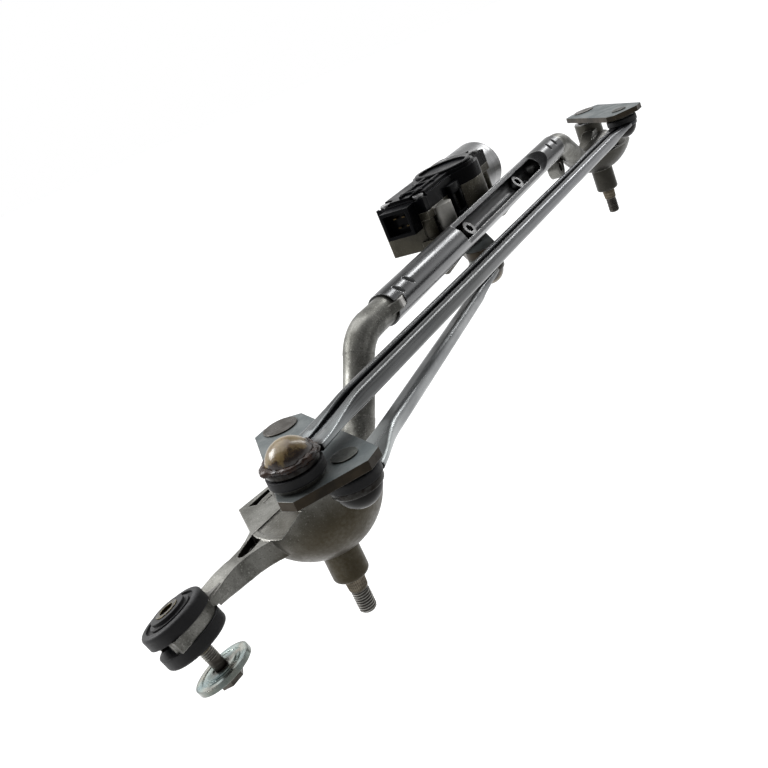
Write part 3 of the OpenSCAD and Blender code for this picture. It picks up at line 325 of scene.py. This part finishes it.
# Olive-brown gear case, its colours darkened all over as painted shade.
shaded_motor_casting = metal(
    "shaded_motor_casting", light=(0.1, 0.091, 0.064), dark=(0.04, 0.035, 0.023), grime_and_shade=(0.012, 0.01, 0.006),
    rough=(0.38, 0.52), patch=6 * mm, grain=0.9 * mm, depth=0.14 * mm,
    edge=0.8 * mm, edge_colour=(0.3, 0.285, 0.24), shade_reach=10 * mm, metallic=0.4,
    grit=(0.36, 0.35, 0.32), spots=motor_spots, Specular_IOR_Level=0.4)
shaft_steel = metal(
    "shaft_steel", light=(0.12, 0.112, 0.1), dark=(0.05, 0.045, 0.038), grime_and_shade=(0.012, 0.009, 0.006),
    rough=(0.28, 0.44), patch=3 * mm, grain=0.4 * mm, depth=0.05 * mm, stretch=turned,
    edge=0.3 * mm, edge_colour=(0.26, 0.245, 0.22))
knurl_steel = metal(
    "knurl_steel", light=(0.16, 0.138, 0.105), dark=(0.06, 0.05, 0.036), grime_and_shade=(0.01, 0.008, 0.005),
    rough=(0.3, 0.45), patch=3 * mm, grain=0.4 * mm, depth=0.03 * mm, stretch=turned,
    edge=0.1 * mm, shade_reach=1.2 * mm)
# Pale copy of the thread steel, for the near arm thread and the bolt: painted light; the far arm thread gets a
# dark copy.
thread_steel = metal(
    "thread_steel", light=(0.42, 0.41, 0.385), dark=(0.24, 0.23, 0.21), grime_and_shade=(0.006, 0.005, 0.004),
    rough=(0.25, 0.4), patch=3 * mm, grain=0.4 * mm, depth=0.02 * mm, stretch=turned,
    edge=0.1 * mm, shade_reach=1.2 * mm, spots=thread_root_shade)
# Dark copy of the thread steel, for the far arm thread: painted shade.
shaded_thread_steel = metal(
    "shaded_thread_steel", light=(0.07, 0.066, 0.06), dark=(0.025, 0.023, 0.02), grime_and_shade=(0.004, 0.003, 0.002),
    rough=(0.25, 0.4), patch=3 * mm, grain=0.4 * mm, depth=0.02 * mm, stretch=turned,
    edge=0.1 * mm, shade_reach=1.2 * mm, spots=thread_root_shade)
stud_steel = metal(
    "stud_steel", light=(0.14, 0.145, 0.135), dark=(0.06, 0.062, 0.056), grime_and_shade=(0.014, 0.012, 0.009),
    rough=(0.32, 0.48), patch=3 * mm, grain=0.5 * mm, depth=0.05 * mm,
    edge=0.4 * mm, edge_colour=(0.24, 0.235, 0.22))
screw_steel = metal(
    "screw_steel", light=(0.42, 0.42, 0.42), dark=(0.2, 0.2, 0.2), grime_and_shade=(0.012, 0.011, 0.01),
    rough=(0.22, 0.36), patch=2 * mm, grain=0.4 * mm, depth=0.04 * mm,
    edge=0.4 * mm, edge_colour=(0.65, 0.65, 0.65), shade_reach=3 * mm)
yellow_zinc = metal(
    "yellow_zinc", light=(0.5, 0.4, 0.17), dark=(0.3, 0.22, 0.08), grime_and_shade=(0.08, 0.055, 0.02),
    rough=(0.25, 0.4), patch=2 * mm, grain=0.4 * mm, depth=0.04 * mm,
    edge=0.3 * mm, edge_colour=(0.62, 0.54, 0.3),
    spots=[spot(spacer_top, 9 * mm, 13 * mm, (0.012, 0.012, 0.012))])
bronze = metal(
    "bronze", light=(0.4, 0.27, 0.13), dark=(0.24, 0.15, 0.07), grime_and_shade=(0.06, 0.04, 0.02),
    rough=(0.35, 0.5), patch=2 * mm, grain=0.4 * mm, depth=0.05 * mm)
pin_bronze = metal(
    "pin_bronze", light=(0.07, 0.05, 0.025), dark=(0.035, 0.025, 0.013), grime_and_shade=(0.01, 0.008, 0.005),
    rough=(0.35, 0.5), patch=2 * mm, grain=0.4 * mm, depth=0.03 * mm)
copper = metal(
    "copper", light=(0.62, 0.32, 0.16), dark=(0.36, 0.17, 0.08), grime_and_shade=(0.08, 0.04, 0.02),
    rough=(0.3, 0.45), patch=2 * mm, grain=0.4 * mm, depth=0.04 * mm, stretch=(0.2, 1, 1))
core_iron = metal(
    "core_iron", light=(0.12, 0.105, 0.095), dark=(0.06, 0.052, 0.047), grime_and_shade=(0.02, 0.016, 0.012),
    rough=(0.45, 0.65), patch=3 * mm, grain=0.5 * mm, depth=0.08 * mm)
can_steel = metal(
    "can_steel", light=(0.3, 0.302, 0.305), dark=(0.2, 0.202, 0.205), grime_and_shade=(0.03, 0.028, 0.026),
    rough=(0.28, 0.4), patch=9 * mm, grain=0.5 * mm, depth=0.012 * mm, stretch=(0.25, 3, 3),
    edge=0.6 * mm, edge_colour=(0.6, 0.6, 0.6), shade_reach=5 * mm)

# Rubber and plastics

rubber = moulding(
    "black_rubber", base=(0.0075, 0.0075, 0.0085), dust=(0.05, 0.05, 0.054), rough=(0.5, 0.68),
    grain=0.5 * mm, depth=0.1 * mm, edge=0.7 * mm, Specular_IOR_Level=0.3)
black_nylon = moulding(
    "black_nylon", base=(0.0055, 0.0045, 0.0035), dust=(0.026, 0.02, 0.012), rough=(0.25, 0.42),
    grain=0.4 * mm, depth=0.05 * mm, Specular_IOR_Level=0.14)
cover_black = moulding(
    "cover_black", base=(0.0035, 0.0036, 0.0044), dust=(0.012, 0.0125, 0.015), rough=(0.2, 0.36),
    grain=0.5 * mm, depth=0.03 * mm, edge=0.6 * mm, Specular_IOR_Level=0.04)
wheel_nylon = moulding(
    "wheel_nylon", base=(0.62, 0.6, 0.53), dust=(0.7, 0.69, 0.64), rough=(0.4, 0.55),
    grain=0.5 * mm, depth=0.04 * mm)


def lever_zinc():
    """Blue-grey zinc plate with a satin face and dark, brown, sheared edges."""
    s = Shader("lever_zinc")
    patches = s.ramp(s.noise(7 * mm, 5), 0.35, 0.68, smooth=True)
    fine = s.noise(0.5 * mm, 4)
    scratches = s.ramp(s.noise(0.5 * mm, 3, (22, 1, 1)), 0.6, 0.72)
    near_edge, rounded = s.edges(0.5 * mm)
    face = s.mix(patches, (0.095, 0.112, 0.116), (0.17, 0.187, 0.188))
    face = s.mix(s.times(scratches, 0.3), face, (0.3, 0.3, 0.29))
    stain = s.times(s.near(near_ball, 11 * mm, 19 * mm, everywhere), s.ramp(fine, 0.3, 0.7, 0.3, 0.9))
    face = s.mix(stain, face, (0.035, 0.027, 0.018))
    sheared = s.mix(patches, (0.012, 0.009, 0.005), (0.045, 0.033, 0.019))
    flat = s.ramp(s.math("ABSOLUTE", s.split(s.geometry.outputs["True Normal"])["Z"]), 0.3, 0.7)
    colour = s.mix(flat, sheared, face)
    rubbed = s.times(near_edge, s.ramp(fine, 0.4, 0.6, 0.15, 0.6))
    colour = s.mix(rubbed, colour, (0.22, 0.21, 0.19))
    roughness = s.varied(patches, 0.5, 0.38, fine, 0.05)
    return s.finish(colour, roughness, s.bump(fine, 0.06 * mm, 0.6, rounded),
                    Metallic=0.4, Specular_IOR_Level=0.3)


def amber_nylon(name, top, base):
    """Translucent amber nylon, smeared with brown grease towards its rim at the height base."""
    s = Shader(name)
    height = s.split(s.coords)["Z"]
    smear = s.noise(3.2 * mm, 5)
    fine = s.noise(0.5 * mm, 4)
    level = s.math("ADD", s.ramp(height, base, top, 1.0, 0.0), s.ramp(smear, 0.3, 0.7, -0.4, 0.4))
    grease = s.ramp(level, 0.42, 0.75, smooth=True)
    resin = s.mix(s.ramp(smear, 0.3, 0.7), (0.24, 0.17, 0.065), (0.1, 0.06, 0.018))
    colour = s.mix(grease, resin, (0.022, 0.009, 0.004))
    roughness = s.varied(grease, 0.32, 0.14, fine, 0.04)
    lumps = s.math("ADD", smear, s.times(fine, 0.12))
    return s.finish(colour, roughness, s.bump(lumps, 0.7 * mm, 0.6, s.edges(0.5 * mm)[1]),
                    Subsurface_Weight=0.15, Subsurface_Radius=(3 * mm, 1.4 * mm, 0.5 * mm),
                    Subsurface_Scale=1.0, Coat_Weight=0.25, Coat_Roughness=0.12)


def brown_grease():
    """Dark brown bearing grease, glossy and lumpy, with dust baked on."""
    s = Shader("brown_grease")
    cloud = s.ramp(s.noise(2 * mm, 4), 0.35, 0.65, smooth=True)
    fine = s.noise(0.4 * mm, 4)
    colour = s.mix(cloud, (0.008, 0.003, 0.002), (0.035, 0.013, 0.005))
    roughness = s.varied(cloud, 0.16, 0.34, fine, 0.04)
    return s.finish(colour, roughness, s.bump(fine, 0.25 * mm, 0.7), Specular_IOR_Level=0.3)


def ringed_zinc(middle, axis):
    """Pale green-grey zinc with turned rings round the bolt's axis."""
    ring_pitch = 1.1 * mm
    s = Shader("ringed_zinc")
    offset = s.vector_math("SUBTRACT", s.coords, middle)[0]
    radius = s.vector_math("LENGTH", s.vector_math("CROSS_PRODUCT", offset, axis)[0])["Value"]
    wave = s.math("SINE", s.times(radius, 2 * math.pi / ring_pitch))
    patches = s.ramp(s.noise(3 * mm, 4), 0.35, 0.65, smooth=True)
    fine = s.noise(0.4 * mm, 4)
    tints = s.noise(4 * mm, 2)
    colour = s.mix(patches, (0.22, 0.27, 0.25), (0.46, 0.53, 0.49))
    colour = s.mix(s.ramp(tints, 0.5, 0.65, 0.0, 0.5), colour, (0.5, 0.42, 0.34))
    colour = s.mix(s.ramp(tints, 0.48, 0.36, 0.0, 0.5), colour, (0.33, 0.44, 0.46))
    dark_middle = s.ramp(radius, 7 * mm, 3 * mm, 0.0, 0.85, smooth=True)
    colour = s.mix(dark_middle, colour, (0.05, 0.046, 0.036))
    dark_rim = s.ramp(radius, 12.2 * mm, 13.3 * mm, 0.0, 0.7, smooth=True)
    colour = s.mix(dark_rim, colour, (0.09, 0.095, 0.085))
    near_edge, rounded = s.edges(0.5 * mm)
    colour = s.mix(s.times(near_edge, 0.35), colour, (0.6, 0.61, 0.58))
    height = s.math("ADD", s.times(wave, 0.4), fine)
    roughness = s.varied(patches, 0.36, 0.2, fine, 0.05)
    return s.finish(colour, roughness, s.bump(height, 0.05 * mm, 0.6, rounded), Metallic=1.0)


# Finishes of the CAD nodes

finishes = {
    zinc_tube: ["frame_tube"],
    zinc_link: ["long_bar"],
    zinc_drive: ["drive_bar"],
    casting: ["driven_housing", "follower_housing"],
    shaded_motor_casting: ["gear_case"],
    lever_zinc(): ["driven_lever", "follower_lever", "crank_arm"],
    rubber: ["driven_grommet", "long_driven_boot", "long_follower_boot", "drive_lever_boot",
             "drive_crank_boot"],
    black_nylon: ["long_follower_socket", "drive_lever_socket", "brush_plate"],
    yellow_zinc: ["driven_spacer"],
    shaft_steel: ["driven_shaft", "follower_shaft", "output_shaft", "worm_shaft", "fixing_bolt"],
    stud_steel: ["long_link_stud", "drive_link_stud", "follower_stud", "crank_stud"],
    screw_steel: ["cover_screws", "motor_screws", "can_screws", "crank_nut", "driven_thrust_washer",
                  "follower_thrust_washer", "driven_circlip", "follower_circlip"],
    cover_black: ["gear_cover", "can_clip"],
    can_steel: ["motor_can"],
    bronze: ["driven_upper_bush", "driven_lower_bush", "follower_upper_bush", "follower_lower_bush",
             "output_bush", "worm_bush", "rear_bush"],
    pin_bronze: ["connector_pins"],
    copper: ["commutator"],
    core_iron: ["armature_core", "magnets", "brushes"],
    wheel_nylon: ["worm_wheel"],
}


def paint(name, material):
    data = nodes[name].data
    data.materials.clear()
    data.materials.append(material)


for material, names in finishes.items():
    for name in names:
        paint(name, material)

# the waist of a socket, hidden in its link's eye, is this long
waist_len = 5.4 * mm
for name, dome_up in (("long_driven_socket", True), ("drive_crank_socket", False)):
    low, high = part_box(name)
    rim, top = (low.z + waist_len, high.z) if dome_up else (high.z - waist_len, low.z)
    paint(name, amber_nylon("amber_" + name, top, rim))

bolt_joint = next(j for j in frame["joints"] if j["name"] == "bolt_slide")
bolt_axis = Vector(bolt_joint["axis"]).normalized()
bolt_foot = centre("bolt_disc")
paint("bolt_disc", ringed_zinc(bolt_foot, bolt_axis))


# Mesh helpers


def new_object(name, mesh_data, material, body):
    made = bpy.data.objects.new(name, mesh_data)
    scene.collection.objects.link(made)
    made.data.materials.append(material)
    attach(made, body)
    return made


def to_mesh(name, bm):
    bmesh.ops.recalc_face_normals(bm, faces=bm.faces)
    data = bpy.data.meshes.new(name)
    bm.to_mesh(data)
    bm.free()
    return data


def skin_mesh(name, rows, loop=False, smooth=False):
    """Skin over closed rows of points of one length: a loop of rows, or capped at both ends."""
    bm = bmesh.new()
    made = [[bm.verts.new(p) for p in row] for row in rows]
    pairs = list(zip(made, made[1:]))
    if loop:
        pairs.append((made[-1], made[0]))
    for one, two in pairs:
        for k in range(len(one)):
            n = (k + 1) % len(one)
            bm.faces.new((one[k], two[k], two[n], one[n])).smooth = smooth
    if not loop:
        bm.faces.new(made[0])
        bm.faces.new(made[-1][::-1])
    return to_mesh(name, bm)


def polar(radius, angle, z):
    return Vector((radius * math.cos(angle), radius * math.sin(angle), z))


def full_turn(count):
    return [2 * math.pi * i / count for i in range(count)]


def ease(t):
    t = min(1.0, max(0.0, t))
    return t * t * (3 - 2 * t)


def between(a, b, t):
    return a + (b - a) * t


def thread_mesh(name, radius, height, pitch, length, place, per_turn=40):
    """Helical ridge: radius at its root, height proud of it, along local Z from 0 to length."""
    steps = int(length / pitch * per_turn)
    fade_steps = per_turn * 0.4
    half = pitch * 0.46
    half_crest = half * 0.12
    root = radius - 0.05 * mm
    rows = []
    for i in range(steps + 1):
        angle = 2 * math.pi * i / per_turn
        z = pitch * i / per_turn
        crest = radius + height * min(1.0, i / fade_steps, (steps - i) / fade_steps)
        section = ((-half, root), (-half_crest, crest), (half_crest, crest), (half, root))
        rows.append([place @ polar(r, angle, z + dz) for dz, r in section])
    return skin_mesh(name, rows)


def knurl_mesh(name, low_r, high_r, length, teeth, height, place):
    """Fine ridges along a cone that grows from low_r to high_r."""
    valley = -0.03 * mm
    rings = []
    for t, ridge in ((0.03, 0.0), (0.12, height), (0.88, height), (0.97, 0.0)):
        r = between(low_r, high_r, t)
        rings.append([place @ polar(r + (ridge if i % 2 else valley), a, length * t)
                      for i, a in enumerate(full_turn(2 * teeth))])
    return skin_mesh(name, rings)


def grease_mesh(name, middle, radius, thick, around=96, section=12):
    """Lumpy bead of grease in the corner between a dome and the eye under it."""
    rows = []
    for a in full_turn(around):
        swell = (0.5 * math.sin(3 * a + 0.7) + 0.35 * math.sin(7 * a + 2.1)
                 + 0.25 * math.sin(13 * a + 4.0))
        t = thick * (1.0 + 0.38 * swell)
        r = radius + 0.25 * thick * math.sin(5 * a + 1.3)
        row = []
        for b in full_turn(section):
            bead = t * (1.0 + 0.12 * math.sin(17 * a + 3 * b))
            row.append(middle + polar(r + bead * math.cos(b), a, 0.8 * bead * math.sin(b)))
        rows.append(row)
    return skin_mesh(name, rows, loop=True, smooth=True)


def ring_mesh(name, middle, inner, outer, low, high, soft, around=72):
    """Flat ring about a vertical axis, its outer edges rounded by soft."""
    cut = 0.3 * soft
    section = [(inner, low), (inner, high), (outer - soft, high), (outer - cut, high - cut),
               (outer, high - soft), (outer, low + soft), (outer - cut, low + cut), (outer - soft, low)]
    rows = [[middle + polar(r, a, z) for r, z in section] for a in full_turn(around)]
    return skin_mesh(name, rows, loop=True)


def box_mesh(name, low, high, soft=0.6 * mm):
    bm = bmesh.new()
    bmesh.ops.create_cube(bm, size=1.0)
    for v in bm.verts:
        v.co = Vector(between(a, b, c + 0.5) for a, b, c in zip(low, high, v.co))
    bmesh.ops.bevel(bm, geom=bm.edges[:], offset=soft, segments=2, profile=0.5, affect="EDGES")
    return to_mesh(name, bm)


def joined(name, meshes):
    """One closed mesh from several that overlap, smooth except along its sharp edges."""
    sharp = math.radians(38)
    made = [bpy.data.objects.new(name, data) for data in meshes]
    for one in made:
        scene.collection.objects.link(one)
    for other in made[1:]:
        union = made[0].modifiers.new("union", "BOOLEAN")
        union.operation = "UNION"
        union.solver = "EXACT"
        union.object = other
    evaluated = made[0].evaluated_get(bpy.context.evaluated_depsgraph_get())
    whole = bpy.data.meshes.new_from_object(evaluated)
    for one in made:
        bpy.data.objects.remove(one)
    bm = bmesh.new()
    bm.from_mesh(whole)
    for face in bm.faces:
        face.smooth = True
    for edge in bm.edges:
        edge.smooth = edge.calc_face_angle(0.0) < sharp
    bm.to_mesh(whole)
    bm.free()
    whole.materials.clear()
    return whole


# Smooth link pressings in place of the plain bars

eye_half = 1.7 * mm
eye_flare = 2.6 * mm
eye_hole_r = 8.45 * mm
eye_r = 11 * mm
eye_soft = 1.0 * mm
eye_reach = 9 * mm
tongue_len = 26 * mm
tongue_half = eye_half - 0.15 * mm
tongue_corner = 1.3 * mm
bar_corner = 3 * mm
flare_len = 20 * mm

# distances from an eye's middle: where each change of section starts, and how long it runs
bar_start, bar_run = tongue_len - 12 * mm, flare_len + 18 * mm
seam_start, seam_run = 12 * mm, tongue_len + 8 * mm
narrow_start, narrow_run = 8 * mm, tongue_len + 8 * mm

# cross sections: close together at the ends, further apart along the bar
first_station = 9 * mm
station_step = 1.5 * mm
end_stations = 32
run_gap = 12 * mm
run_stations = 24


def link_section(half_w, top, bottom, corner, seam_half, seam_deep, arc=7):
    """Outline of a pressed bar as (across, height) pairs, with a seam groove along its top."""
    groove = ((0, 1), (0.7, 1), (0.88, 0.9), (0.95, 0.5), (1.0, 0.12), (1.15, 0))
    half = [(across * seam_half, top - deep * seam_deep) for across, deep in groove]
    turns = [math.pi / 2 * k / arc for k in range(arc + 1)]
    side = half_w - corner
    half += [(side + corner * math.sin(a), top - corner + corner * math.cos(a)) for a in turns]
    half += [(side + corner * math.cos(a), bottom + corner - corner * math.sin(a)) for a in turns]
    half.append((0, bottom))
    return half + [(-y, z) for y, z in half[-2:0:-1]]


def link_mesh(name, bar, near, far, tongue_w, bar_w, bar_h, drop, seam_w, seam_depth):
    """A link that flattens smoothly into an eye at each end, at the heights of the node's own eyes."""
    heights = []
    for ball in (near, far):
        rim = [v.co.z for v in nodes[bar].data.vertices if (v.co.xy - ball.xy).length < eye_reach]
        heights.append((min(rim) + max(rim)) / 2)
    span = (far.xy - near.xy).length
    ahead = Vector((*((far.xy - near.xy) / span), 0))
    aside = Vector((-ahead.y, ahead.x, 0))
    first = tongue_len + flare_len
    run = span - 2 * first
    ends = [first_station + station_step * k for k in range(end_stations)]
    stations = ends + [first + run_gap + (run - 2 * run_gap) * k / run_stations
                       for k in range(run_stations + 1)]
    stations += [span - x for x in reversed(ends)]
    rows = []
    for x in stations:
        gap = min(x, span - x)
        full = ease((gap - bar_start) / bar_run)
        seam = ease((gap - seam_start) / seam_run)
        wide = between(eye_flare, 0.0, ease((gap - narrow_start) / narrow_run))
        outline = link_section(
            half_w=between(tongue_w, bar_w, full) / 2 + wide,
            top=between(tongue_half, bar_h / 2 - drop, full),
            bottom=between(-tongue_half, -bar_h / 2 - drop, full),
            corner=between(tongue_corner, bar_corner, full),
            seam_half=between(0.75, 1.0, seam) * seam_w / 2,
            seam_deep=between(0.45, 1.0, seam) * seam_depth)
        level = between(*heights, min(1.0, max(0.0, (x - first) / run)))
        at = Vector((near.x, near.y, level)) + ahead * x
        rows.append([at + aside * y + Vector((0, 0, z)) for y, z in outline])
    eyes = [ring_mesh(name + "_eye", Vector((*ball.xy, z)), eye_hole_r, eye_r, -eye_half, eye_half,
                      eye_soft) for ball, z in zip((near, far), heights)]
    return joined(name, [skin_mesh(name, rows)] + eyes)


long_mesh = link_mesh(
    "long_pressing", "long_bar", near_ball, far_ball, tongue_w=13.5 * mm, bar_w=13.5 * mm,
    bar_h=8 * mm, drop=0.0, seam_w=4.6 * mm, seam_depth=3.4 * mm)
long_pressing = new_object("long_pressing", long_mesh, zinc_link, "long_link")
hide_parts("long_bar")
drive_mesh = link_mesh(
    "drive_pressing", "drive_bar", drive_ball, crank_ball, tongue_w=13 * mm, bar_w=9 * mm,
    bar_h=7.6 * mm, drop=1.8 * mm, seam_w=2 * mm, seam_depth=0.0)
drive_pressing = new_object("drive_pressing", drive_mesh, zinc_drive, "drive_link")
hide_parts("drive_bar")


# Latch and ribs of the gear cover: boxes as (low corner, high corner), in millimetres

cover_top = 127.0
rib_sink = 0.3
rib_foot = cover_top - rib_sink
rib_w = 2
latch_boxes = [((237, 7.4, 114.5), (252, 11.2, 121)), ((237, 7.6, 99), (241, 11, 116)),
               ((248, 7.6, 99), (252, 11, 116)), ((237, 7.2, 98), (252, 11.1, 103))]
rib_boxes = [((212, y, rib_foot), (250, y + rib_w, cover_top + 1.3)) for y in (18, 28)]
rib_boxes += [((x, 16, rib_foot), (x + rib_w, 32, cover_top + 1.2)) for x in (218, 236)]


def boxes_mesh(name, boxes):
    return [box_mesh(name, [v * mm for v in low], [v * mm for v in high]) for low, high in boxes]


wheel_axis = Vector((*centre("output_shaft").xy, cover_top * mm))
wheel_ring = ring_mesh("cover_ribs", wheel_axis, inner=16.5 * mm, outer=19.5 * mm,
                       low=-rib_sink * mm, high=1.4 * mm, soft=0.7 * mm)
for name, parts in (("cover_latch", boxes_mesh("cover_latch", latch_boxes)),
                    ("cover_ribs", boxes_mesh("cover_ribs", rib_boxes) + [wheel_ring])):
    new_object(name, joined(name, parts), cover_black, "frame")


# Threads, knurls and grease in their places

mounts = {m["name"]: m for m in frame["record"]["mounts"]}
thread_sink = 0.02 * mm
thread_end = 0.6 * mm
cone_len = 8 * mm
journal_r = 5 * mm
for side, body, look in (("driven", "driven_rocker", thread_steel),
                         ("follower", "follower_rocker", shaded_thread_steel)):
    mount = mounts[side + "_arm_thread"]
    start = Vector(mount["pos_m"])
    r = mount["dims"]["r_mm"] * mm
    length = mount["dims"]["length_mm"] * mm
    thread = thread_mesh(side + "_thread", r - thread_sink, height=0.42 * mm, pitch=1.4 * mm,
                         length=length - thread_end,
                         place=Matrix.Translation(start - Vector((0, 0, length))))
    new_object(side + "_thread", thread, look, body)
    knurl = knurl_mesh(side + "_knurl", low_r=r + 0.4 * mm, high_r=journal_r - 0.1 * mm, length=cone_len,
                       teeth=30, height=0.26 * mm, place=Matrix.Translation(start))
    new_object(side + "_knurl", knurl, knurl_steel, body)

bolt_thread_r = 3 * mm
bolt_plain_len = 7 * mm
bolt_turn = bolt_axis.to_track_quat("Z", "Y").to_matrix().to_4x4()
bolt_thread = thread_mesh("bolt_thread", bolt_thread_r - thread_sink, height=0.2 * mm, pitch=1.0 * mm,
                          length=21 * mm, per_turn=28,
                          place=Matrix.Translation(bolt_foot + bolt_axis * bolt_plain_len) @ bolt_turn)
new_object("bolt_thread", bolt_thread, thread_steel, "mount_bolt")

grease_lift = 0.4 * mm
dome_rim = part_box("long_driven_socket")[0].z + waist_len
grease = grease_mesh("joint_grease", Vector((*near_ball.xy, dome_rim + grease_lift)),
                     radius=10.3 * mm, thick=1.6 * mm)
new_object("joint_grease", grease, brown_grease(), "long_link")


# Floor, light and camera


def either(tree, a, b):
    """The larger of two outputs."""
    made = tree.nodes.new("ShaderNodeMath")
    made.operation = "MAXIMUM"
    tree.links.new(a, made.inputs[0])
    tree.links.new(b, made.inputs[1])
    return made.outputs[0]


def rays(tree, *kinds):
    """1 for rays of these kinds, 0 for the rest."""
    path = tree.nodes.new("ShaderNodeLightPath")
    seen = path.outputs["Is " + kinds[0] + " Ray"]
    for kind in kinds[1:]:
        seen = either(tree, seen, path.outputs["Is " + kind + " Ray"])
    return seen


eye_kinds = ("Camera", "Glossy", "Transmission")

# white behind the part, falling off overhead in reflections, with an even fill for the light itself
fill_strength = 0.14
overhead_strength = 0.2
world = bpy.data.worlds.new("studio")
world.use_nodes = True
scene.world = world
sky = world.node_tree
background = sky.nodes["Background"]
background.inputs["Color"].default_value = (1, 1, 1, 1)
direction = sky.nodes.new("ShaderNodeSeparateXYZ")
sky.links.new(sky.nodes.new("ShaderNodeTexCoord").outputs["Generated"], direction.inputs[0])
surround = map_range(sky, direction.outputs["Z"], 0.15, 0.5, 1.0, overhead_strength).outputs["Result"]
blend = sky.nodes.new("ShaderNodeMix")
sky.links.new(rays(sky, *eye_kinds), blend.inputs["Factor"])
blend.inputs["A"].default_value = fill_strength
sky.links.new(either(sky, surround, rays(sky, "Camera")), blend.inputs["B"])
sky.links.new(blend.outputs["Result"], background.inputs["Strength"])

# the studio is dimmer on this side, which only mirror rays show
dim_side = Vector((-0.42, -0.91, 0.0))
dim_amount = 0.6
floor_glow = 0.74
floor_drop = 0.11
floor_size = 40.0
bm = bmesh.new()
bmesh.ops.create_grid(bm, x_segments=1, y_segments=1, size=floor_size / 2)
floor = bpy.data.objects.new("floor", to_mesh("floor", bm))
floor.location = (0.25, 0.0, cad_box[0].z - floor_drop)
scene.collection.objects.link(floor)
white = Shader("floor_white")
white_tone = white.mix(white.noise(0.2, 2), (0.42, 0.42, 0.42), (0.46, 0.46, 0.46))
glow = white.ramp(rays(white.tree, *eye_kinds), 0, 1, 0, floor_glow)
place = white.split(white.coords)
toward_dim = white.math("ADD", white.times(place["X"], dim_side.x), white.times(place["Y"], dim_side.y))
dimmed = white.times(white.ramp(toward_dim, 0.05, 0.5, 0.0, dim_amount, smooth=True),
                     rays(white.tree, "Glossy"))
floor.data.materials.append(white.finish(
    white_tone, 0.9, white.bump(white.noise(2 * mm, 3), 0.1 * mm, 0.2), Specular_IOR_Level=0.1,
    Emission_Color=(1, 1, 1), Emission_Strength=white.math("SUBTRACT", glow, dimmed)))


def add_light(name, kind, place, aim, power):
    data = bpy.data.lights.new(name, kind)
    data.energy = power
    made = bpy.data.objects.new(name, data)
    made.location = place
    made.rotation_euler = (Vector(aim) - Vector(place)).to_track_quat("-Z", "Y").to_euler()
    scene.collection.objects.link(made)
    return data


def area_light(name, place, aim, size, power):
    data = add_light(name, "AREA", place, aim, power)
    data.shape = "RECTANGLE"
    data.size, data.size_y = size


part_middle = (0.25, 0.0, 0.07)
sun = add_light("sun", "SUN", (0.5, 0.7, 1.4), (0.1, 0, 0), power=1.8)
sun.angle = math.radians(60)
area_light("far_strip", (1.5, -0.22, 1.2), part_middle, size=(0.22, 1.6), power=12)
area_light("left_key", (-0.2, 1.2, 1.0), part_middle, size=(0.7, 0.6), power=19)

# the camera that was solved from the photo
camera_place = (-0.2657, -0.2584, 0.2181)
camera_right = Vector((0.4391, -0.8152, -0.3776)).normalized()
camera_back = -Vector((0.7557, 0.5625, -0.3355)).normalized()
camera_up = camera_back.cross(camera_right).normalized()
camera_data = bpy.data.cameras.new("photo_camera")
camera_data.lens = 42.18
camera_data.sensor_width = 36.0
camera_data.clip_start = 0.01
camera = bpy.data.objects.new("photo_camera", camera_data)
scene.collection.objects.link(camera)
camera_turn = Matrix((camera_right, camera_up, camera_back)).transposed().to_4x4()
camera.matrix_world = Matrix.Translation(camera_place) @ camera_turn
scene.camera = camera
scene.view_settings.view_transform = "Standard"
